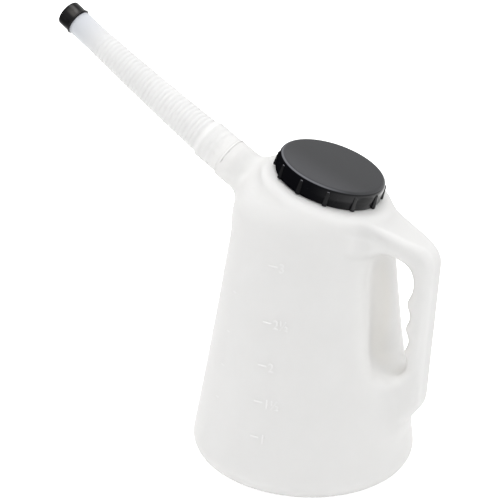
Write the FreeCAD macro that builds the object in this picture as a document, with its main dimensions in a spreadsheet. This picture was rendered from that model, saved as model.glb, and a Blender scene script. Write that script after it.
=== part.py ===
import FreeCAD, Part
import math
import os
import Sketcher

# Oil measuring jug, blow-moulded, with an inclined filler mouth and a long flexible spout.
# Frame: origin at the centre of the base, on the ground. +Z is up, the spout points to -X,
# the handle is on the +X side and the litre marks face -Y. All lengths are millimetres.

SIZES = [
    # body of revolution
    ("base_radius", 90.0, "outer radius where the wall would meet the ground"),
    ("body_height", 220.0, "height of the flat crown"),
    ("crown_radius", 56.8, "outer radius where the wall would meet the crown"),
    ("wall_turn", 2.1, "degrees that the hollow-ground wall turns from base to crown"),
    ("base_round", 11.4, "radius of the bottom edge"),
    ("crown_round", 20.0, "radius of the shoulder"),
    ("foot_width", 12.0, "width of the ring that the jug stands on"),
    ("base_push_up", 2.5, "how far the middle of the base stands off the ground"),
    ("skin", 2.0, "wall thickness of the moulding"),
    # inclined filler mouth
    ("mouth_x", 9.06, "x of the collar's upper edge, on the mouth's axis"),
    ("mouth_rise", 1.35, "height of that point above the crown"),
    ("mouth_tilt", 16.86, "degrees that the mouth leans towards the handle"),
    ("collar_radius", 50.0, "radius of the collar round the mouth"),
    ("collar_depth", 42.0, "length of collar, most of it sunk in the body"),
    ("collar_rise", 2.5, "rise of the shallow cone above the collar's edge"),
    ("collar_slope", 9.8, "width of that cone, from the collar's edge to the step under the lid"),
    ("step_width", 2.8, "width of that step, from the cone to the mouth's neck"),
    ("lip_rise", 13.8, "height of the neck's lip above the collar's edge"),
    # pouring neck and its axis
    ("neck_out", 41.0, "from the crown's radius out to where the spout's tube begins"),
    ("neck_rise", 21.5, "height of that point above the crown"),
    ("neck_lean", 59.8, "degrees between the neck's axis and the vertical"),
    ("neck_radius", 16.0, "outer radius of the neck"),
    ("neck_spread", 8.5, "how much wider the neck's radius gets inside the shoulder"),
    ("neck_shoulder", 27.0, "distance from the tube's start back to the neck's step"),
    ("flare_start", 44.0, "distance back to where the neck begins to spread"),
    ("neck_turn", 55.0, "degrees that the neck's spread turns"),
    ("neck_root", 59.0, "distance back to the neck's inner end"),
    ("neck_step", 2.4, "how much smaller the radius is inside the cuff"),
    ("nozzle_gap", 7.4, "distance from the tube's start back to the neck's lip"),
    # grip handle
    ("grip_beyond", 11.3, "how far the grip's outer face stands beyond the base's radius"),
    ("grip_depth", 19.8, "front-to-back depth of the grip at a ridge"),
    ("grip_width", 23.0, "width of the grip"),
    ("grip_round", 6.5, "radius of the grip's long edges"),
    ("grip_top_round", 17.0, "radius of the grip's upper outer corner"),
    ("grip_low_round", 22.0, "radius of the grip's lower outer corner"),
    ("grip_low_drop", 9.0, "from the finger hole's bottom down to where that corner starts"),
    ("grip_low_turn", 62.0, "degrees that the lower corner turns before it hollows to the wall"),
    ("strap_set_in", 5.0, "how far inside the collar's radius the sloping strap starts"),
    ("strap_fall", 9.4, "depth of the strap's top there below the crown"),
    ("strap_drop", 22.3, "degrees that the strap slopes down"),
    ("strap_width", 54.0, "width of the strap at its start"),
    ("strap_turn", 40.0, "degrees that the strap's sides turn as they narrow"),
    ("strap_waist", 2.5, "how far the strap overhangs the grip's side above the window"),
    ("strap_in", 1.5, "how far its end stays inside the grip's side"),
    ("strap_share", 0.6, "share of the upper corner that stays clear of the strap"),
    ("strap_edge", 1.6, "radius of the strap's edges"),
    ("foot_sunk", 1.2, "how far inside the wall the grip's lower run-out ends"),
    ("root_width", 62.0, "width of the grip's lower root inside the wall"),
    ("root_sunk", 12.0, "depth inside the wall at which the root has that width"),
    ("root_set_in", 4.5, "how far the root's outer end lies inside the grip's outer face"),
    ("root_round", 16.0, "radius of the root's lower corners inside the wall"),
    ("root_slim", 1.0, "how far the root keeps inside the grip's sides and under the hole"),
    ("root_below", 4.0, "how far the root reaches below the grip's run-out, inside the wall"),
    ("root_drop", 40.0, "from the finger hole's bottom down to where the root meets the wall"),
    ("hole_drop", 40.0, "from the crown down to the finger hole's top"),
    ("ridge_drop", 34.0, "from that top down to the highest ridge between two fingers"),
    ("ridge_start", 24.0, "from the lowest ridge down to the hole's bottom"),
    ("finger_pitch", 19.5, "spacing of the finger hollows"),
    ("finger_turn", 58.0, "degrees that the inner face turns through a hollow"),
    ("ridge_share", 0.38, "share of the spacing that a ridge takes"),
    ("ridge_count", 3.0, "number of ridges"),
    # finger recess in the wall behind the grip
    ("recess_out", 9.6, "from the wall's mean radius out to the recess's axis"),
    ("recess_radius", 27.0, "radius of the recess"),
    ("recess_short", 1.0, "how much the recess stops short of the finger hole at each end"),
    ("recess_end", 9.0, "radius of the recess's rounded ends"),
    ("recess_lip", 7.0, "radius of the recess's edge"),
    # screw lid
    ("lid_room", 1.5, "gap between the mouth's neck and the lid's skirt, for the threads"),
    ("lid_wall", 1.9, "thickness of the skirt"),
    ("lid_top", 2.4, "thickness of the lid's top"),
    ("lid_round", 2.2, "radius of the lid's top edge"),
    ("lid_clear", 1.0, "gap between the skirt's edge and the step under it"),
    ("rib_count", 12.0, "number of grip ribs"),
    ("rib_width", 3.4, "width of a rib"),
    ("rib_proud", 1.4, "how far a rib stands out of the skirt"),
    ("rib_height", 11.0, "height of a rib"),
    ("seal_thick", 1.6, "thickness of the lid's seal"),
    ("seal_clear", 0.6, "gap between a seal's rim and the skirt or cuff round it"),
    # flexible spout
    ("cuff_room", 0.9, "gap between the neck and the cuff round it, for the threads"),
    ("cuff_wall", 1.3, "thickness of the cuff"),
    ("cuff_clear", 0.5, "gap between the cuff and the neck's step"),
    ("cuff_top", 5.0, "distance from the tube's start back to the cuff's shoulder"),
    ("cuff_shoulder", 1.6, "how much smaller than the cuff the tube is where it starts"),
    ("fold_proud", 0.4, "how far the last fold stands out of the plain end"),
    ("tube_wall", 1.1, "thickness of the tube"),
    ("fold_count", 30.0, "number of folds"),
    ("fold_pitch", 3.7, "length of one fold"),
    ("fold_depth", 0.9, "depth of a fold"),
    ("bend_radius", 2800.0, "radius of the tube's gentle bend"),
    ("tip_radius", 10.2, "outer radius of the plain end"),
    ("tip_length", 27.0, "length of the plain end outside the cap"),
    ("plug_step", 0.8, "how much smaller the end is inside the cap"),
    ("plug_length", 10.5, "length of the end inside the cap"),
    ("washer_thick", 1.4, "thickness of the sealing ring in the cuff"),
    # push-on cap
    ("cap_length", 12.6, "length of the cap"),
    ("cap_wall", 1.1, "thickness of the cap"),
    ("bead_proud", 0.7, "how far the bead at the cap's mouth stands out of it"),
    ("cap_bead_round", 0.8, "half the height of that bead"),
    ("cap_round", 1.6, "radius of the cap's closed end"),
    ("cap_clear", 0.1, "gap between the cap and the end that it covers"),
    ("seat_gap", 0.1, "small gap left between pieces that touch"),
]

doc = FreeCAD.newDocument("oil_measuring_jug")
sheet = doc.addObject("Spreadsheet::Sheet", "Sizes")
size = {}
for row, (name, value, note) in enumerate(SIZES, start=1):
    sheet.set("A%d" % row, name)
    sheet.set("B%d" % row, str(value))
    sheet.set("C%d" % row, note)
    sheet.setAlias("B%d" % row, name)
    size[name] = value
doc.recompute()

# places and radii that follow from the sizes above, each as an expression
MOUTH_Z = "(Sizes.body_height+Sizes.mouth_rise)"
STEP_RADIUS = "(Sizes.collar_radius-Sizes.collar_slope)"
LIP_RADIUS = "(Sizes.collar_radius-Sizes.collar_slope-Sizes.step_width)"
LID_RADIUS = "(%s+Sizes.lid_room+Sizes.lid_wall)" % LIP_RADIUS
NECK_X = "(-Sizes.crown_radius-Sizes.neck_out)"
NECK_Z = "(Sizes.body_height+Sizes.neck_rise)"
NECK_FLARE = "(Sizes.neck_radius+Sizes.neck_spread)"
NOZZLE_RADIUS = "(Sizes.neck_radius-Sizes.neck_step)"
CUFF_RADIUS = "(%s+Sizes.cuff_room+Sizes.cuff_wall)" % NOZZLE_RADIUS
TUBE_START = "(%s-Sizes.cuff_shoulder)" % CUFF_RADIUS
TUBE_END = "(Sizes.tip_radius+Sizes.fold_proud)"
TIP_PLUG = "(Sizes.tip_radius-Sizes.plug_step)"
CAP_BEAD = "(%s+Sizes.cap_clear+Sizes.cap_wall+Sizes.bead_proud)" % TIP_PLUG
STRAP_X = "(Sizes.collar_radius-Sizes.strap_set_in)"
STRAP_Z = "(Sizes.body_height-Sizes.strap_fall)"
GRIP_REACH = "(Sizes.base_radius+Sizes.grip_beyond)"
HOLE_TOP = "(Sizes.body_height-Sizes.hole_drop)"
RIDGE_LOW = "(%s-Sizes.ridge_drop-(Sizes.ridge_count-1)*Sizes.finger_pitch)" % HOLE_TOP
HOLE_BOTTOM = "(%s-Sizes.ridge_start)" % RIDGE_LOW
GRIP_LOW = "(%s-Sizes.grip_low_drop)" % HOLE_BOTTOM
ROOT_FOOT = "(%s-Sizes.root_drop)" % HOLE_BOTTOM
ROOT_STAGES = (0.0, 0.3, 0.62, 1.0)
RECESS_X = "((Sizes.base_radius+Sizes.crown_radius)/2+Sizes.recess_out)"
RECESS_LOW = "(%s+Sizes.recess_short)" % HOLE_BOTTOM
RECESS_HIGH = "(%s-Sizes.recess_short)" % HOLE_TOP


def value_of(text):
    """The number that an expression gives."""
    return float(sheet.evalExpression(text))


def plane_of(body, role):
    """Return one of a body's own origin planes."""
    for feature in body.Origin.OriginFeatures:
        if feature.Role == role:
            return feature
    raise ValueError(role)


def sketch_on(body, name, role):
    """Start a sketch on one of the body's origin planes."""
    sketch = body.newObject("Sketcher::SketchObject", name)
    sketch.AttachmentSupport = [(plane_of(body, role), "")]
    sketch.MapMode = "FlatFace"
    return sketch


def lay_sketch(sketch, x, z, angle, clockwise):
    """Shift a sketch within its plane to (x, z) and turn it by an angle in degrees."""
    axis = FreeCAD.Vector(0, 0, -1) if clockwise else FreeCAD.Vector(0, 0, 1)
    sketch.AttachmentOffset = FreeCAD.Placement(FreeCAD.Vector(), FreeCAD.Rotation(axis, 10))
    sketch.setExpression("AttachmentOffset.Base.x", x)
    sketch.setExpression("AttachmentOffset.Base.y", z)
    sketch.setExpression("AttachmentOffset.Rotation.Angle", angle)


def outline(sketch, corners):
    """Draw a closed outline. A corner is (x, y) or (x, y, turn), each an expression:
    turn is the sweep in degrees of the arc that leaves the corner, positive to the left."""
    spots = []
    first_line = sketch.GeometryCount
    for corner in corners:
        x = float(sketch.evalExpression(corner[0]))
        y = float(sketch.evalExpression(corner[1]))
        spots.append(FreeCAD.Vector(x, y, 0))
    count = len(corners)
    for i, corner in enumerate(corners):
        start = spots[i]
        end = spots[(i + 1) % count]
        turn = float(sketch.evalExpression(corner[2])) if len(corner) > 2 else 0.0
        if turn == 0.0:
            sketch.addGeometry(Part.LineSegment(start, end), False)
        else:
            chord = end - start
            side = FreeCAD.Vector(-chord.y, chord.x, 0)
            centre = (start + end) * 0.5 + side * (0.5 / math.tan(math.radians(turn) / 2))
            circle = Part.Circle(centre, FreeCAD.Vector(0, 0, 1), (start - centre).Length)
            first = start if turn > 0 else end
            angle = math.atan2(first.y - centre.y, first.x - centre.x)
            arc = Part.ArcOfCircle(circle, angle, angle + math.radians(abs(turn)))
            sketch.addGeometry(arc, False)
    ends = []
    for corner in corners:
        turn = float(sketch.evalExpression(corner[2])) if len(corner) > 2 else 0.0
        # an arc is always stored counter-clockwise, so a right-hand one starts at its far end
        ends.append((2, 1) if turn < 0 else (1, 2))
    for i in range(count):
        j = (i + 1) % count
        here = first_line + i
        there = first_line + j
        sketch.addConstraint(Sketcher.Constraint("Coincident", here, ends[i][1], there, ends[j][0]))
    for i, corner in enumerate(corners):
        here = first_line + i
        for kind, text in (("DistanceX", corner[0]), ("DistanceY", corner[1])):
            value = float(sketch.evalExpression(text))
            rule = sketch.addConstraint(Sketcher.Constraint(kind, -1, 1, here, ends[i][0], value))
            sketch.setExpression("Constraints[%d]" % rule, text)
        if len(corner) > 2:
            after = corners[(i + 1) % count]
            sign = "-1" if ends[i][0] == 2 else "1"
            text = "sqrt(((%s)-(%s))^2+((%s)-(%s))^2)/2/sin((%s)/2)*%s" % (
                after[0], corner[0], after[1], corner[1], corner[2], sign)
            value = float(sketch.evalExpression(text))
            rule = sketch.addConstraint(Sketcher.Constraint("Radius", here, value))
            sketch.setExpression("Constraints[%d]" % rule, text)


def revolve(body, name, sketch, cut=False):
    """Turn a sketch once round its own vertical axis."""
    kind = "PartDesign::Groove" if cut else "PartDesign::Revolution"
    feature = body.newObject(kind, name)
    feature.Profile = sketch
    feature.ReferenceAxis = (sketch, ["V_Axis"])
    feature.Angle = 360.0
    sketch.Visibility = False
    return feature


def extrude(body, name, sketch, length, cut=False):
    """Pad or pocket a sketch by a length, half to each side of its plane."""
    feature = body.newObject("PartDesign::Pocket" if cut else "PartDesign::Pad", name)
    feature.Profile = sketch
    feature.Midplane = True
    feature.setExpression("Length", length)
    return feature


def round_edges(body, name, base, radius, choose):
    """Fillet the edges of a feature that a test picks out."""
    doc.recompute()
    names = []
    for i, edge in enumerate(base.Shape.Edges, start=1):
        if choose(edge):
            names.append("Edge%d" % i)
    if not names:
        raise ValueError("no edge to round in " + name)
    feature = body.newObject("PartDesign::Fillet", name)
    feature.Base = (base, names)
    feature.setExpression("Radius", radius)
    return feature


def ring_at(edge, radius, height):
    """Tell whether an edge is the level circle of this radius and height round Z."""
    box = edge.BoundBox
    flat = box.ZLength < 0.01 and abs(box.ZMin - height) < 0.01
    return flat and abs(box.XMax - radius) < 0.05 and abs(box.YMin + radius) < 0.05


def sloping_edge(edge):
    """Tell whether an edge bounds the strap's sloping top along its sides."""
    box = edge.BoundBox
    return box.ZMin > value_of(HOLE_TOP) + size["skin"] + 3.0 and box.XLength > 1.0


def recess_edge(edge):
    """Tell whether an edge is where the finger recess breaks out of the tapered wall."""
    inside = size["base_radius"] * 0.2 < edge.BoundBox.XMin
    high = edge.BoundBox.ZMax < value_of(RECESS_HIGH) + size["skin"] + 1.0
    low = edge.BoundBox.ZMin > value_of(RECESS_LOW) - size["skin"] - 1.0
    if not (inside and high and low):
        return False
    middle = edge.valueAt((edge.FirstParameter + edge.LastParameter) / 2)
    away = math.hypot(middle.x, middle.y)
    rise = middle.z / size["body_height"]
    wall = size["base_radius"] + (size["crown_radius"] - size["base_radius"]) * rise
    return abs(away - wall) < size["skin"] + 2.0


def run_out(high, low):
    """Turn of the arc that carries on smoothly from the grip's lower corner down to the wall."""
    rise = "((%s)-(%s))" % (high[1], low[1])
    reach = "((%s)-(%s))" % (high[0], low[0])
    return "2*(Sizes.grip_low_turn-atan(%s/%s)/1deg)" % (reach, rise)


def jug_form(tag, inset):
    """Make the jug's outer form, or with an inset the form of the space inside its skin."""
    g = inset
    g_now = value_of(g)
    parts = []

    # the tapered body: hollow-ground wall, pushed-up base, crown cut off along the mouth's slope
    shell = doc.addObject("PartDesign::Body", "body_" + tag)
    profile = sketch_on(shell, "wall_" + tag, "YZ_Plane")
    foot_in = "Sizes.base_radius-Sizes.base_round-Sizes.foot_width+%s" % g
    outline(profile, [
        ("0", "Sizes.base_push_up+%s" % g),
        (foot_in + "-Sizes.base_push_up", "Sizes.base_push_up+%s" % g),
        (foot_in, g),
        ("Sizes.base_radius-%s" % g, g, "-Sizes.wall_turn"),
        ("Sizes.crown_radius-%s" % g, "Sizes.body_height-%s" % g),
        ("0", "Sizes.body_height-%s" % g),
    ])
    turned = revolve(shell, "turned_" + tag, profile)
    foot = round_edges(shell, "foot_" + tag, turned, "Sizes.base_round-%s" % g,
                       lambda e: ring_at(e, size["base_radius"] - g_now, g_now))
    crown = round_edges(shell, "crown_" + tag, foot, "Sizes.crown_round-%s" % g,
                        lambda e: ring_at(e, size["crown_radius"] - g_now,
                                          size["body_height"] - g_now))
    slope = sketch_on(shell, "slope_" + tag, "XZ_Plane")
    lay_sketch(slope, "Sizes.mouth_x", MOUTH_Z, "Sizes.mouth_tilt", True)
    outline(slope, [
        ("0", "-(%s)" % g),
        ("2*Sizes.collar_radius", "-(%s)" % g),
        ("2*Sizes.collar_radius", "Sizes.collar_radius"),
        ("0", "Sizes.collar_radius"),
    ])
    extrude(shell, "sloped_" + tag, slope, "4*Sizes.collar_radius", cut=True)
    # the capsule-shaped recess that gives the fingers room behind the grip
    lens = sketch_on(shell, "capsule_" + tag, "XZ_Plane")
    lay_sketch(lens, RECESS_X, "0", "0", False)
    outline(lens, [
        ("0", f"{RECESS_LOW}-%s" % g),
        ("Sizes.recess_radius-Sizes.recess_end", f"{RECESS_LOW}-%s" % g, "90"),
        ("Sizes.recess_radius+%s" % g, f"{RECESS_LOW}+Sizes.recess_end"),
        ("Sizes.recess_radius+%s" % g, f"{RECESS_HIGH}-Sizes.recess_end", "90"),
        ("Sizes.recess_radius-Sizes.recess_end", f"{RECESS_HIGH}+%s" % g),
        ("0", f"{RECESS_HIGH}+%s" % g),
    ])
    doc.recompute()
    hollow = revolve(shell, "hollow_" + tag, lens, cut=True)
    round_edges(shell, "lip_" + tag, hollow, "Sizes.recess_lip-%s" % g, recess_edge)
    doc.recompute()
    parts.append(shell)

    # the collar and threaded neck of the inclined mouth
    mouth = doc.addObject("PartDesign::Body", "mouth_" + tag)
    rim = sketch_on(mouth, "rim_" + tag, "XZ_Plane")
    lay_sketch(rim, "Sizes.mouth_x", MOUTH_Z, "Sizes.mouth_tilt", True)
    lip = "Sizes.lip_rise+%s" % g
    outline(rim, [
        ("0", "-Sizes.collar_depth"),
        ("Sizes.collar_radius-%s" % g, "-Sizes.collar_depth"),
        ("Sizes.collar_radius-%s" % g, "-(%s)" % g),
        (f"{STEP_RADIUS}-%s" % g, "Sizes.collar_rise-(%s)" % g),
        (f"{LIP_RADIUS}-%s" % g, "Sizes.collar_rise-(%s)" % g),
        (f"{LIP_RADIUS}-%s" % g, lip),
        ("0", lip),
    ])
    revolve(mouth, "collar_" + tag, rim)
    parts.append(mouth)

    # the pouring neck, spread where it leaves the shoulder
    neck = doc.addObject("PartDesign::Body", "neck_" + tag)
    bore = sketch_on(neck, "flare_" + tag, "XZ_Plane")
    lay_sketch(bore, NECK_X, NECK_Z, "Sizes.neck_lean", False)
    end = "-Sizes.nozzle_gap+%s" % g
    outline(bore, [
        ("0", "-Sizes.neck_root"),
        (f"{NECK_FLARE}-%s" % g, "-Sizes.neck_root", "-Sizes.neck_turn"),
        ("Sizes.neck_radius-%s" % g, "-Sizes.flare_start"),
        ("Sizes.neck_radius-%s" % g, "-Sizes.neck_shoulder-%s" % g),
        (f"{NOZZLE_RADIUS}-%s" % g, "-Sizes.neck_shoulder-%s" % g),
        (f"{NOZZLE_RADIUS}-%s" % g, end),
        ("0", end),
    ])
    revolve(neck, "spout_neck_" + tag, bore)
    parts.append(neck)

    # the grip: a bar with finger hollows, bent back to the collar above and to the wall below
    grip = doc.addObject("PartDesign::Body", "grip_" + tag)
    side = sketch_on(grip, "side_" + tag, "XZ_Plane")
    inner = f"{GRIP_REACH}-Sizes.grip_depth"
    bend = "(Sizes.grip_top_round-%s)*tan((90-Sizes.strap_drop)/2)" % g
    peak = f"{STRAP_Z}-%s/cos(Sizes.strap_drop)-({GRIP_REACH}-%s-{STRAP_X})" % (g, g)
    peak = peak + "*tan(Sizes.strap_drop)"
    reach = f"{GRIP_REACH}-%s" % g
    low = "(Sizes.grip_low_round-%s)" % g
    wall = f"Sizes.base_radius-(Sizes.base_radius-Sizes.crown_radius)*{ROOT_FOOT}/Sizes.body_height"
    middle = f"{RECESS_X}-Sizes.recess_radius"
    turn = "Sizes.finger_turn"
    half = "Sizes.ridge_share*Sizes.finger_pitch/2"
    bend_x = "%s+%s+%s*tan(%s/4)" % (inner, g, half, turn)
    sweep = f"({RIDGE_LOW}-%s-{HOLE_BOTTOM}+%s)/(1+sin(%s/2))" % (half, g, turn)
    corner_end = (f"{GRIP_REACH}-Sizes.grip_low_round+%s*cos(Sizes.grip_low_turn)" % low,
                  f"{GRIP_LOW}-%s*sin(Sizes.grip_low_turn)" % low)
    foot_end = (wall + "-Sizes.foot_sunk-%s" % g, ROOT_FOOT)
    corners = [
        (STRAP_X, f"{STRAP_Z}-%s/cos(Sizes.strap_drop)" % g),
        (reach + "-" + bend + "*cos(Sizes.strap_drop)", peak + "+" + bend + "*sin(Sizes.strap_drop)",
         "Sizes.strap_drop-90"),
        (reach, peak + "-" + bend),
        (reach, GRIP_LOW, "-Sizes.grip_low_turn"),
        corner_end + (run_out(corner_end, foot_end),),
        foot_end,
        (middle, ROOT_FOOT),
        (middle, f"{HOLE_BOTTOM}-%s" % g),
        ("%s-%s*cos(%s/2)" % (bend_x, sweep, turn), f"{HOLE_BOTTOM}-%s" % g, "90+%s/2" % turn),
    ]
    for ridge in range(int(size["ridge_count"])):
        height = f"{RIDGE_LOW}+%d*Sizes.finger_pitch" % ridge
        corners.append((bend_x, "%s-%s" % (height, half), "-" + turn))
        corners.append((bend_x, "%s+%s" % (height, half), turn))
    top = f"{RIDGE_LOW}+(Sizes.ridge_count-1)*Sizes.finger_pitch"
    arch = f"({HOLE_TOP}+%s-(%s)-%s)/(1+sin(%s/2))" % (g, top, half, turn)
    corners[-1] = (bend_x, "%s+%s" % (top, half), "90+%s/2" % turn)
    corners = corners + [
        ("%s-%s*cos(%s/2)" % (bend_x, arch, turn), f"{HOLE_TOP}+%s" % g),
        (STRAP_X, f"{HOLE_TOP}+%s" % g),
    ]
    outline(side, corners)
    bar = extrude(grip, "bar_" + tag, side, "Sizes.grip_width-2*%s" % g)
    flank = size["grip_width"] / 2 - g_now
    round_edges(grip, "grip_round_" + tag, bar, "Sizes.grip_round-%s" % g,
                lambda e: e.BoundBox.YLength < 0.01 and abs(abs(e.BoundBox.YMin) - flank) < 0.01
                and e.BoundBox.ZMax > value_of(ROOT_FOOT) + 1.0
                and e.BoundBox.ZMin < value_of(HOLE_TOP) - 1.0
                and e.BoundBox.XMax > value_of(RECESS_X) - size["recess_radius"] + size["grip_round"])
    doc.recompute()
    parts.append(grip)

    # the flat strap over the grip's upper end, wide where it meets the collar
    strap = doc.addObject("PartDesign::Body", "strap_" + tag)
    edge = sketch_on(strap, "strap_side_" + tag, "XZ_Plane")
    far = f"({GRIP_REACH}-Sizes.grip_top_round*cos(Sizes.strap_drop)*Sizes.strap_share)"
    slope_line = f"{STRAP_Z}-%s/cos(Sizes.strap_drop)-(%s-{STRAP_X})*tan(Sizes.strap_drop)"
    outline(edge, [
        (STRAP_X, slope_line % (g, STRAP_X)),
        (far, slope_line % (g, far)),
        (far, f"{HOLE_TOP}+Sizes.skin"),
        (STRAP_X, f"{HOLE_TOP}+%s" % g),
    ])
    extrude(strap, "strap_bar_" + tag, edge, "Sizes.strap_width-2*%s" % g)
    doc.recompute()
    plan = sketch_on(strap, "strap_plan_" + tag, "XY_Plane")
    for sign in ("", "-"):
        turn = "Sizes.strap_turn" if sign == "" else "-Sizes.strap_turn"
        outline(plan, [
            (STRAP_X, "%s(Sizes.strap_width/2-%s)" % (sign, g), turn),
            (inner, "%s(Sizes.grip_width/2+Sizes.strap_waist-%s)" % (sign, g)),
            (far + "+1", "%s(Sizes.grip_width/2-Sizes.strap_in-%s)" % (sign, g)),
            (far + "+1", "%sSizes.strap_width" % sign),
            (STRAP_X, "%sSizes.strap_width" % sign),
        ])
    cut = extrude(strap, "strap_shape_" + tag, plan, "4*Sizes.body_height", cut=True)
    round_edges(strap, "strap_round_" + tag, cut, "Sizes.strap_edge", sloping_edge)
    doc.recompute()
    parts.append(strap)

    # the root that spreads like a trumpet from the grip's lower end into the wall
    root = doc.addObject("PartDesign::Body", "root_" + tag)
    near = wall + "-Sizes.root_sunk"
    far = f"({GRIP_REACH}-Sizes.root_set_in-%s)" % g
    slim = "Sizes.grip_width/2-Sizes.root_slim"
    stages = []
    for count, share in enumerate(ROOT_STAGES):
        # widths and depths fall off fast near the wall and slowly near the grip
        wide = "%g" % ((1 - share) ** 2)
        narrow = "%g" % (1 - (1 - share) ** 2)
        ring = sketch_on(root, "root_ring_%s_%d" % (tag, count), "YZ_Plane")
        ring.setExpression("AttachmentOffset.Base.z", "(%s)*%g+%s*%g" % (near, 1 - share, far, share))
        half = "(Sizes.root_width/2*%s+(%s)*%s-%s)" % (wide, slim, narrow, g)
        under = f"({ROOT_FOOT}-Sizes.root_below)*%g+({GRIP_LOW}-Sizes.grip_low_round/2)*%g+%s" % (
            1 - share, share, g)
        over = f"({HOLE_BOTTOM}-Sizes.root_slim-%s)" % g
        curve = "(Sizes.root_round*%s+Sizes.grip_round*%s-%s)" % (wide, narrow, g)
        small = "(Sizes.grip_round-%s)" % g
        outline(ring, [
            ("-%s+%s" % (half, curve), under),
            ("%s-%s" % (half, curve), under, "90"),
            (half, under + "+" + curve),
            (half, over + "-" + small, "90"),
            ("%s-%s" % (half, small), over),
            ("-%s+%s" % (half, small), over, "90"),
            ("-" + half, over + "-" + small),
            ("-" + half, under + "+" + curve, "90"),
        ])
        stages.append(ring)
    doc.recompute()
    flare = root.newObject("PartDesign::AdditiveLoft", "flare_root_" + tag)
    flare.Profile = stages[0]
    flare.Sections = stages[1:]
    flare.Ruled = False
    doc.recompute()
    parts.append(root)
    return parts


def joined(name, shapes):
    """Fuse several objects into one, each in turn onto the last result."""
    whole = shapes[0]
    for count, shape in enumerate(shapes[1:], start=2):
        fused = doc.addObject("Part::Fuse", "%s_%d" % (name, count))
        fused.Base = whole
        fused.Tool = shape
        fused.Refine = False
        whole = fused
    return whole


def place(thing, x, z, along, lean, forward):
    """Stand a piece on a leaning axis, a distance along it from the axis's named point."""
    sign = "" if forward else "-"
    thing.Placement = FreeCAD.Placement(
        FreeCAD.Vector(), FreeCAD.Rotation(FreeCAD.Vector(0, 1 if forward else -1, 0), 10))
    thing.setExpression("Placement.Base.x", "%s+%s(%s)*sin(%s)" % (x, sign, along, lean))
    thing.setExpression("Placement.Base.z", "%s+(%s)*cos(%s)" % (z, along, lean))
    thing.setExpression("Placement.Rotation.Angle", lean)


# the moulding: outer form less the space inside its skin
outside = joined("jug_outside", jug_form("outer", "0"))
inside = joined("jug_inside", jug_form("inner", "Sizes.skin"))
jug = doc.addObject("Part::Cut", "jug_body")
jug.Label = "jug_body"
jug.Base = outside
jug.Tool = inside
jug.Refine = False
doc.recompute()

# the screw lid, drawn round the mouth's axis with its zero at the collar's edge
lid = doc.addObject("PartDesign::Body", "screw_lid")
lid.Label = "screw_lid"
lid_under = "Sizes.lip_rise+Sizes.seal_thick+2*Sizes.seat_gap"
skirt_end = "Sizes.collar_rise+Sizes.lid_clear"
cover = sketch_on(lid, "cover", "XZ_Plane")
outline(cover, [
    ("0", skirt_end),
    (LID_RADIUS, skirt_end),
    (LID_RADIUS, lid_under + "+Sizes.lid_top"),
    ("0", lid_under + "+Sizes.lid_top"),
])
disc = revolve(lid, "disc", cover)
lid_top_at = (size["lip_rise"] + size["seal_thick"] + 2 * size["seat_gap"] + size["lid_top"])
rounded = round_edges(lid, "lid_edge", disc, "Sizes.lid_round",
                      lambda e: ring_at(e, value_of(LID_RADIUS), lid_top_at))
rib = sketch_on(lid, "rib_shape", "XZ_Plane")
lay_sketch(rib, f"{LID_RADIUS}+Sizes.rib_proud-Sizes.rib_width/2", "0", "0", False)
outline(rib, [
    ("0", skirt_end),
    ("Sizes.rib_width/2", skirt_end),
    ("Sizes.rib_width/2", skirt_end + "+Sizes.rib_height-Sizes.rib_width/2", "90"),
    ("0", skirt_end + "+Sizes.rib_height"),
])
one_rib = revolve(lid, "one_rib", rib)
doc.recompute()
ribs = lid.newObject("PartDesign::PolarPattern", "ribs")
ribs.Originals = [one_rib]
ribs.Axis = (cover, ["V_Axis"])
ribs.Angle = 360.0
ribs.setExpression("Occurrences", "Sizes.rib_count")
lid.Tip = ribs
doc.recompute()
well = sketch_on(lid, "well", "XZ_Plane")
outline(well, [
    ("0", skirt_end + "-1"),
    (f"{LID_RADIUS}-Sizes.lid_wall", skirt_end + "-1"),
    (f"{LID_RADIUS}-Sizes.lid_wall", lid_under),
    ("0", lid_under),
])
revolve(lid, "bored", well, cut=True)
place(lid, "Sizes.mouth_x", MOUTH_Z, "0", "Sizes.mouth_tilt", True)

# the lid's flat seal, pressed between the lid and the neck's lip
seal = doc.addObject("Part::Cylinder", "lid_seal")
seal.Label = "lid_seal"
seal.setExpression("Radius", f"{LID_RADIUS}-Sizes.lid_wall-Sizes.seal_clear")
seal.setExpression("Height", "Sizes.seal_thick")
place(seal, "Sizes.mouth_x", MOUTH_Z, "Sizes.lip_rise+Sizes.seat_gap",
      "Sizes.mouth_tilt", True)

# the spout: a cuff over the neck, drawn round the neck's axis
cuff = doc.addObject("PartDesign::Body", "cuff")
sleeve = sketch_on(cuff, "sleeve", "XZ_Plane")
cuff_end = "Sizes.cuff_clear-Sizes.neck_shoulder"
outline(sleeve, [
    ("0", cuff_end),
    (CUFF_RADIUS, cuff_end),
    (CUFF_RADIUS, "-Sizes.cuff_top"),
    (TUBE_START, "-Sizes.cuff_top/5"),
    (f"{TUBE_START}-Sizes.fold_depth", "0"),
    ("0", "0"),
])
revolve(cuff, "sleeve_turned", sleeve)
cuff_bore = doc.addObject("PartDesign::Body", "cuff_bore")
socket = sketch_on(cuff_bore, "socket", "XZ_Plane")
seat = "Sizes.washer_thick+2*Sizes.seat_gap-Sizes.nozzle_gap"
outline(socket, [
    ("0", cuff_end + "-1"),
    (f"{CUFF_RADIUS}-Sizes.cuff_wall", cuff_end + "-1"),
    (f"{CUFF_RADIUS}-Sizes.cuff_wall", seat),
    ("0", seat),
])
revolve(cuff_bore, "socket_turned", socket)


def on_bend(run):
    """Point and direction on the tube's centre line, a run along it from its start."""
    rise = run / size["bend_radius"]
    point = FreeCAD.Vector(size["bend_radius"] * (1 - math.cos(rise)), 0,
                           size["bend_radius"] * math.sin(rise))
    return point, FreeCAD.Vector(math.sin(rise), 0, math.cos(rise))


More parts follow.
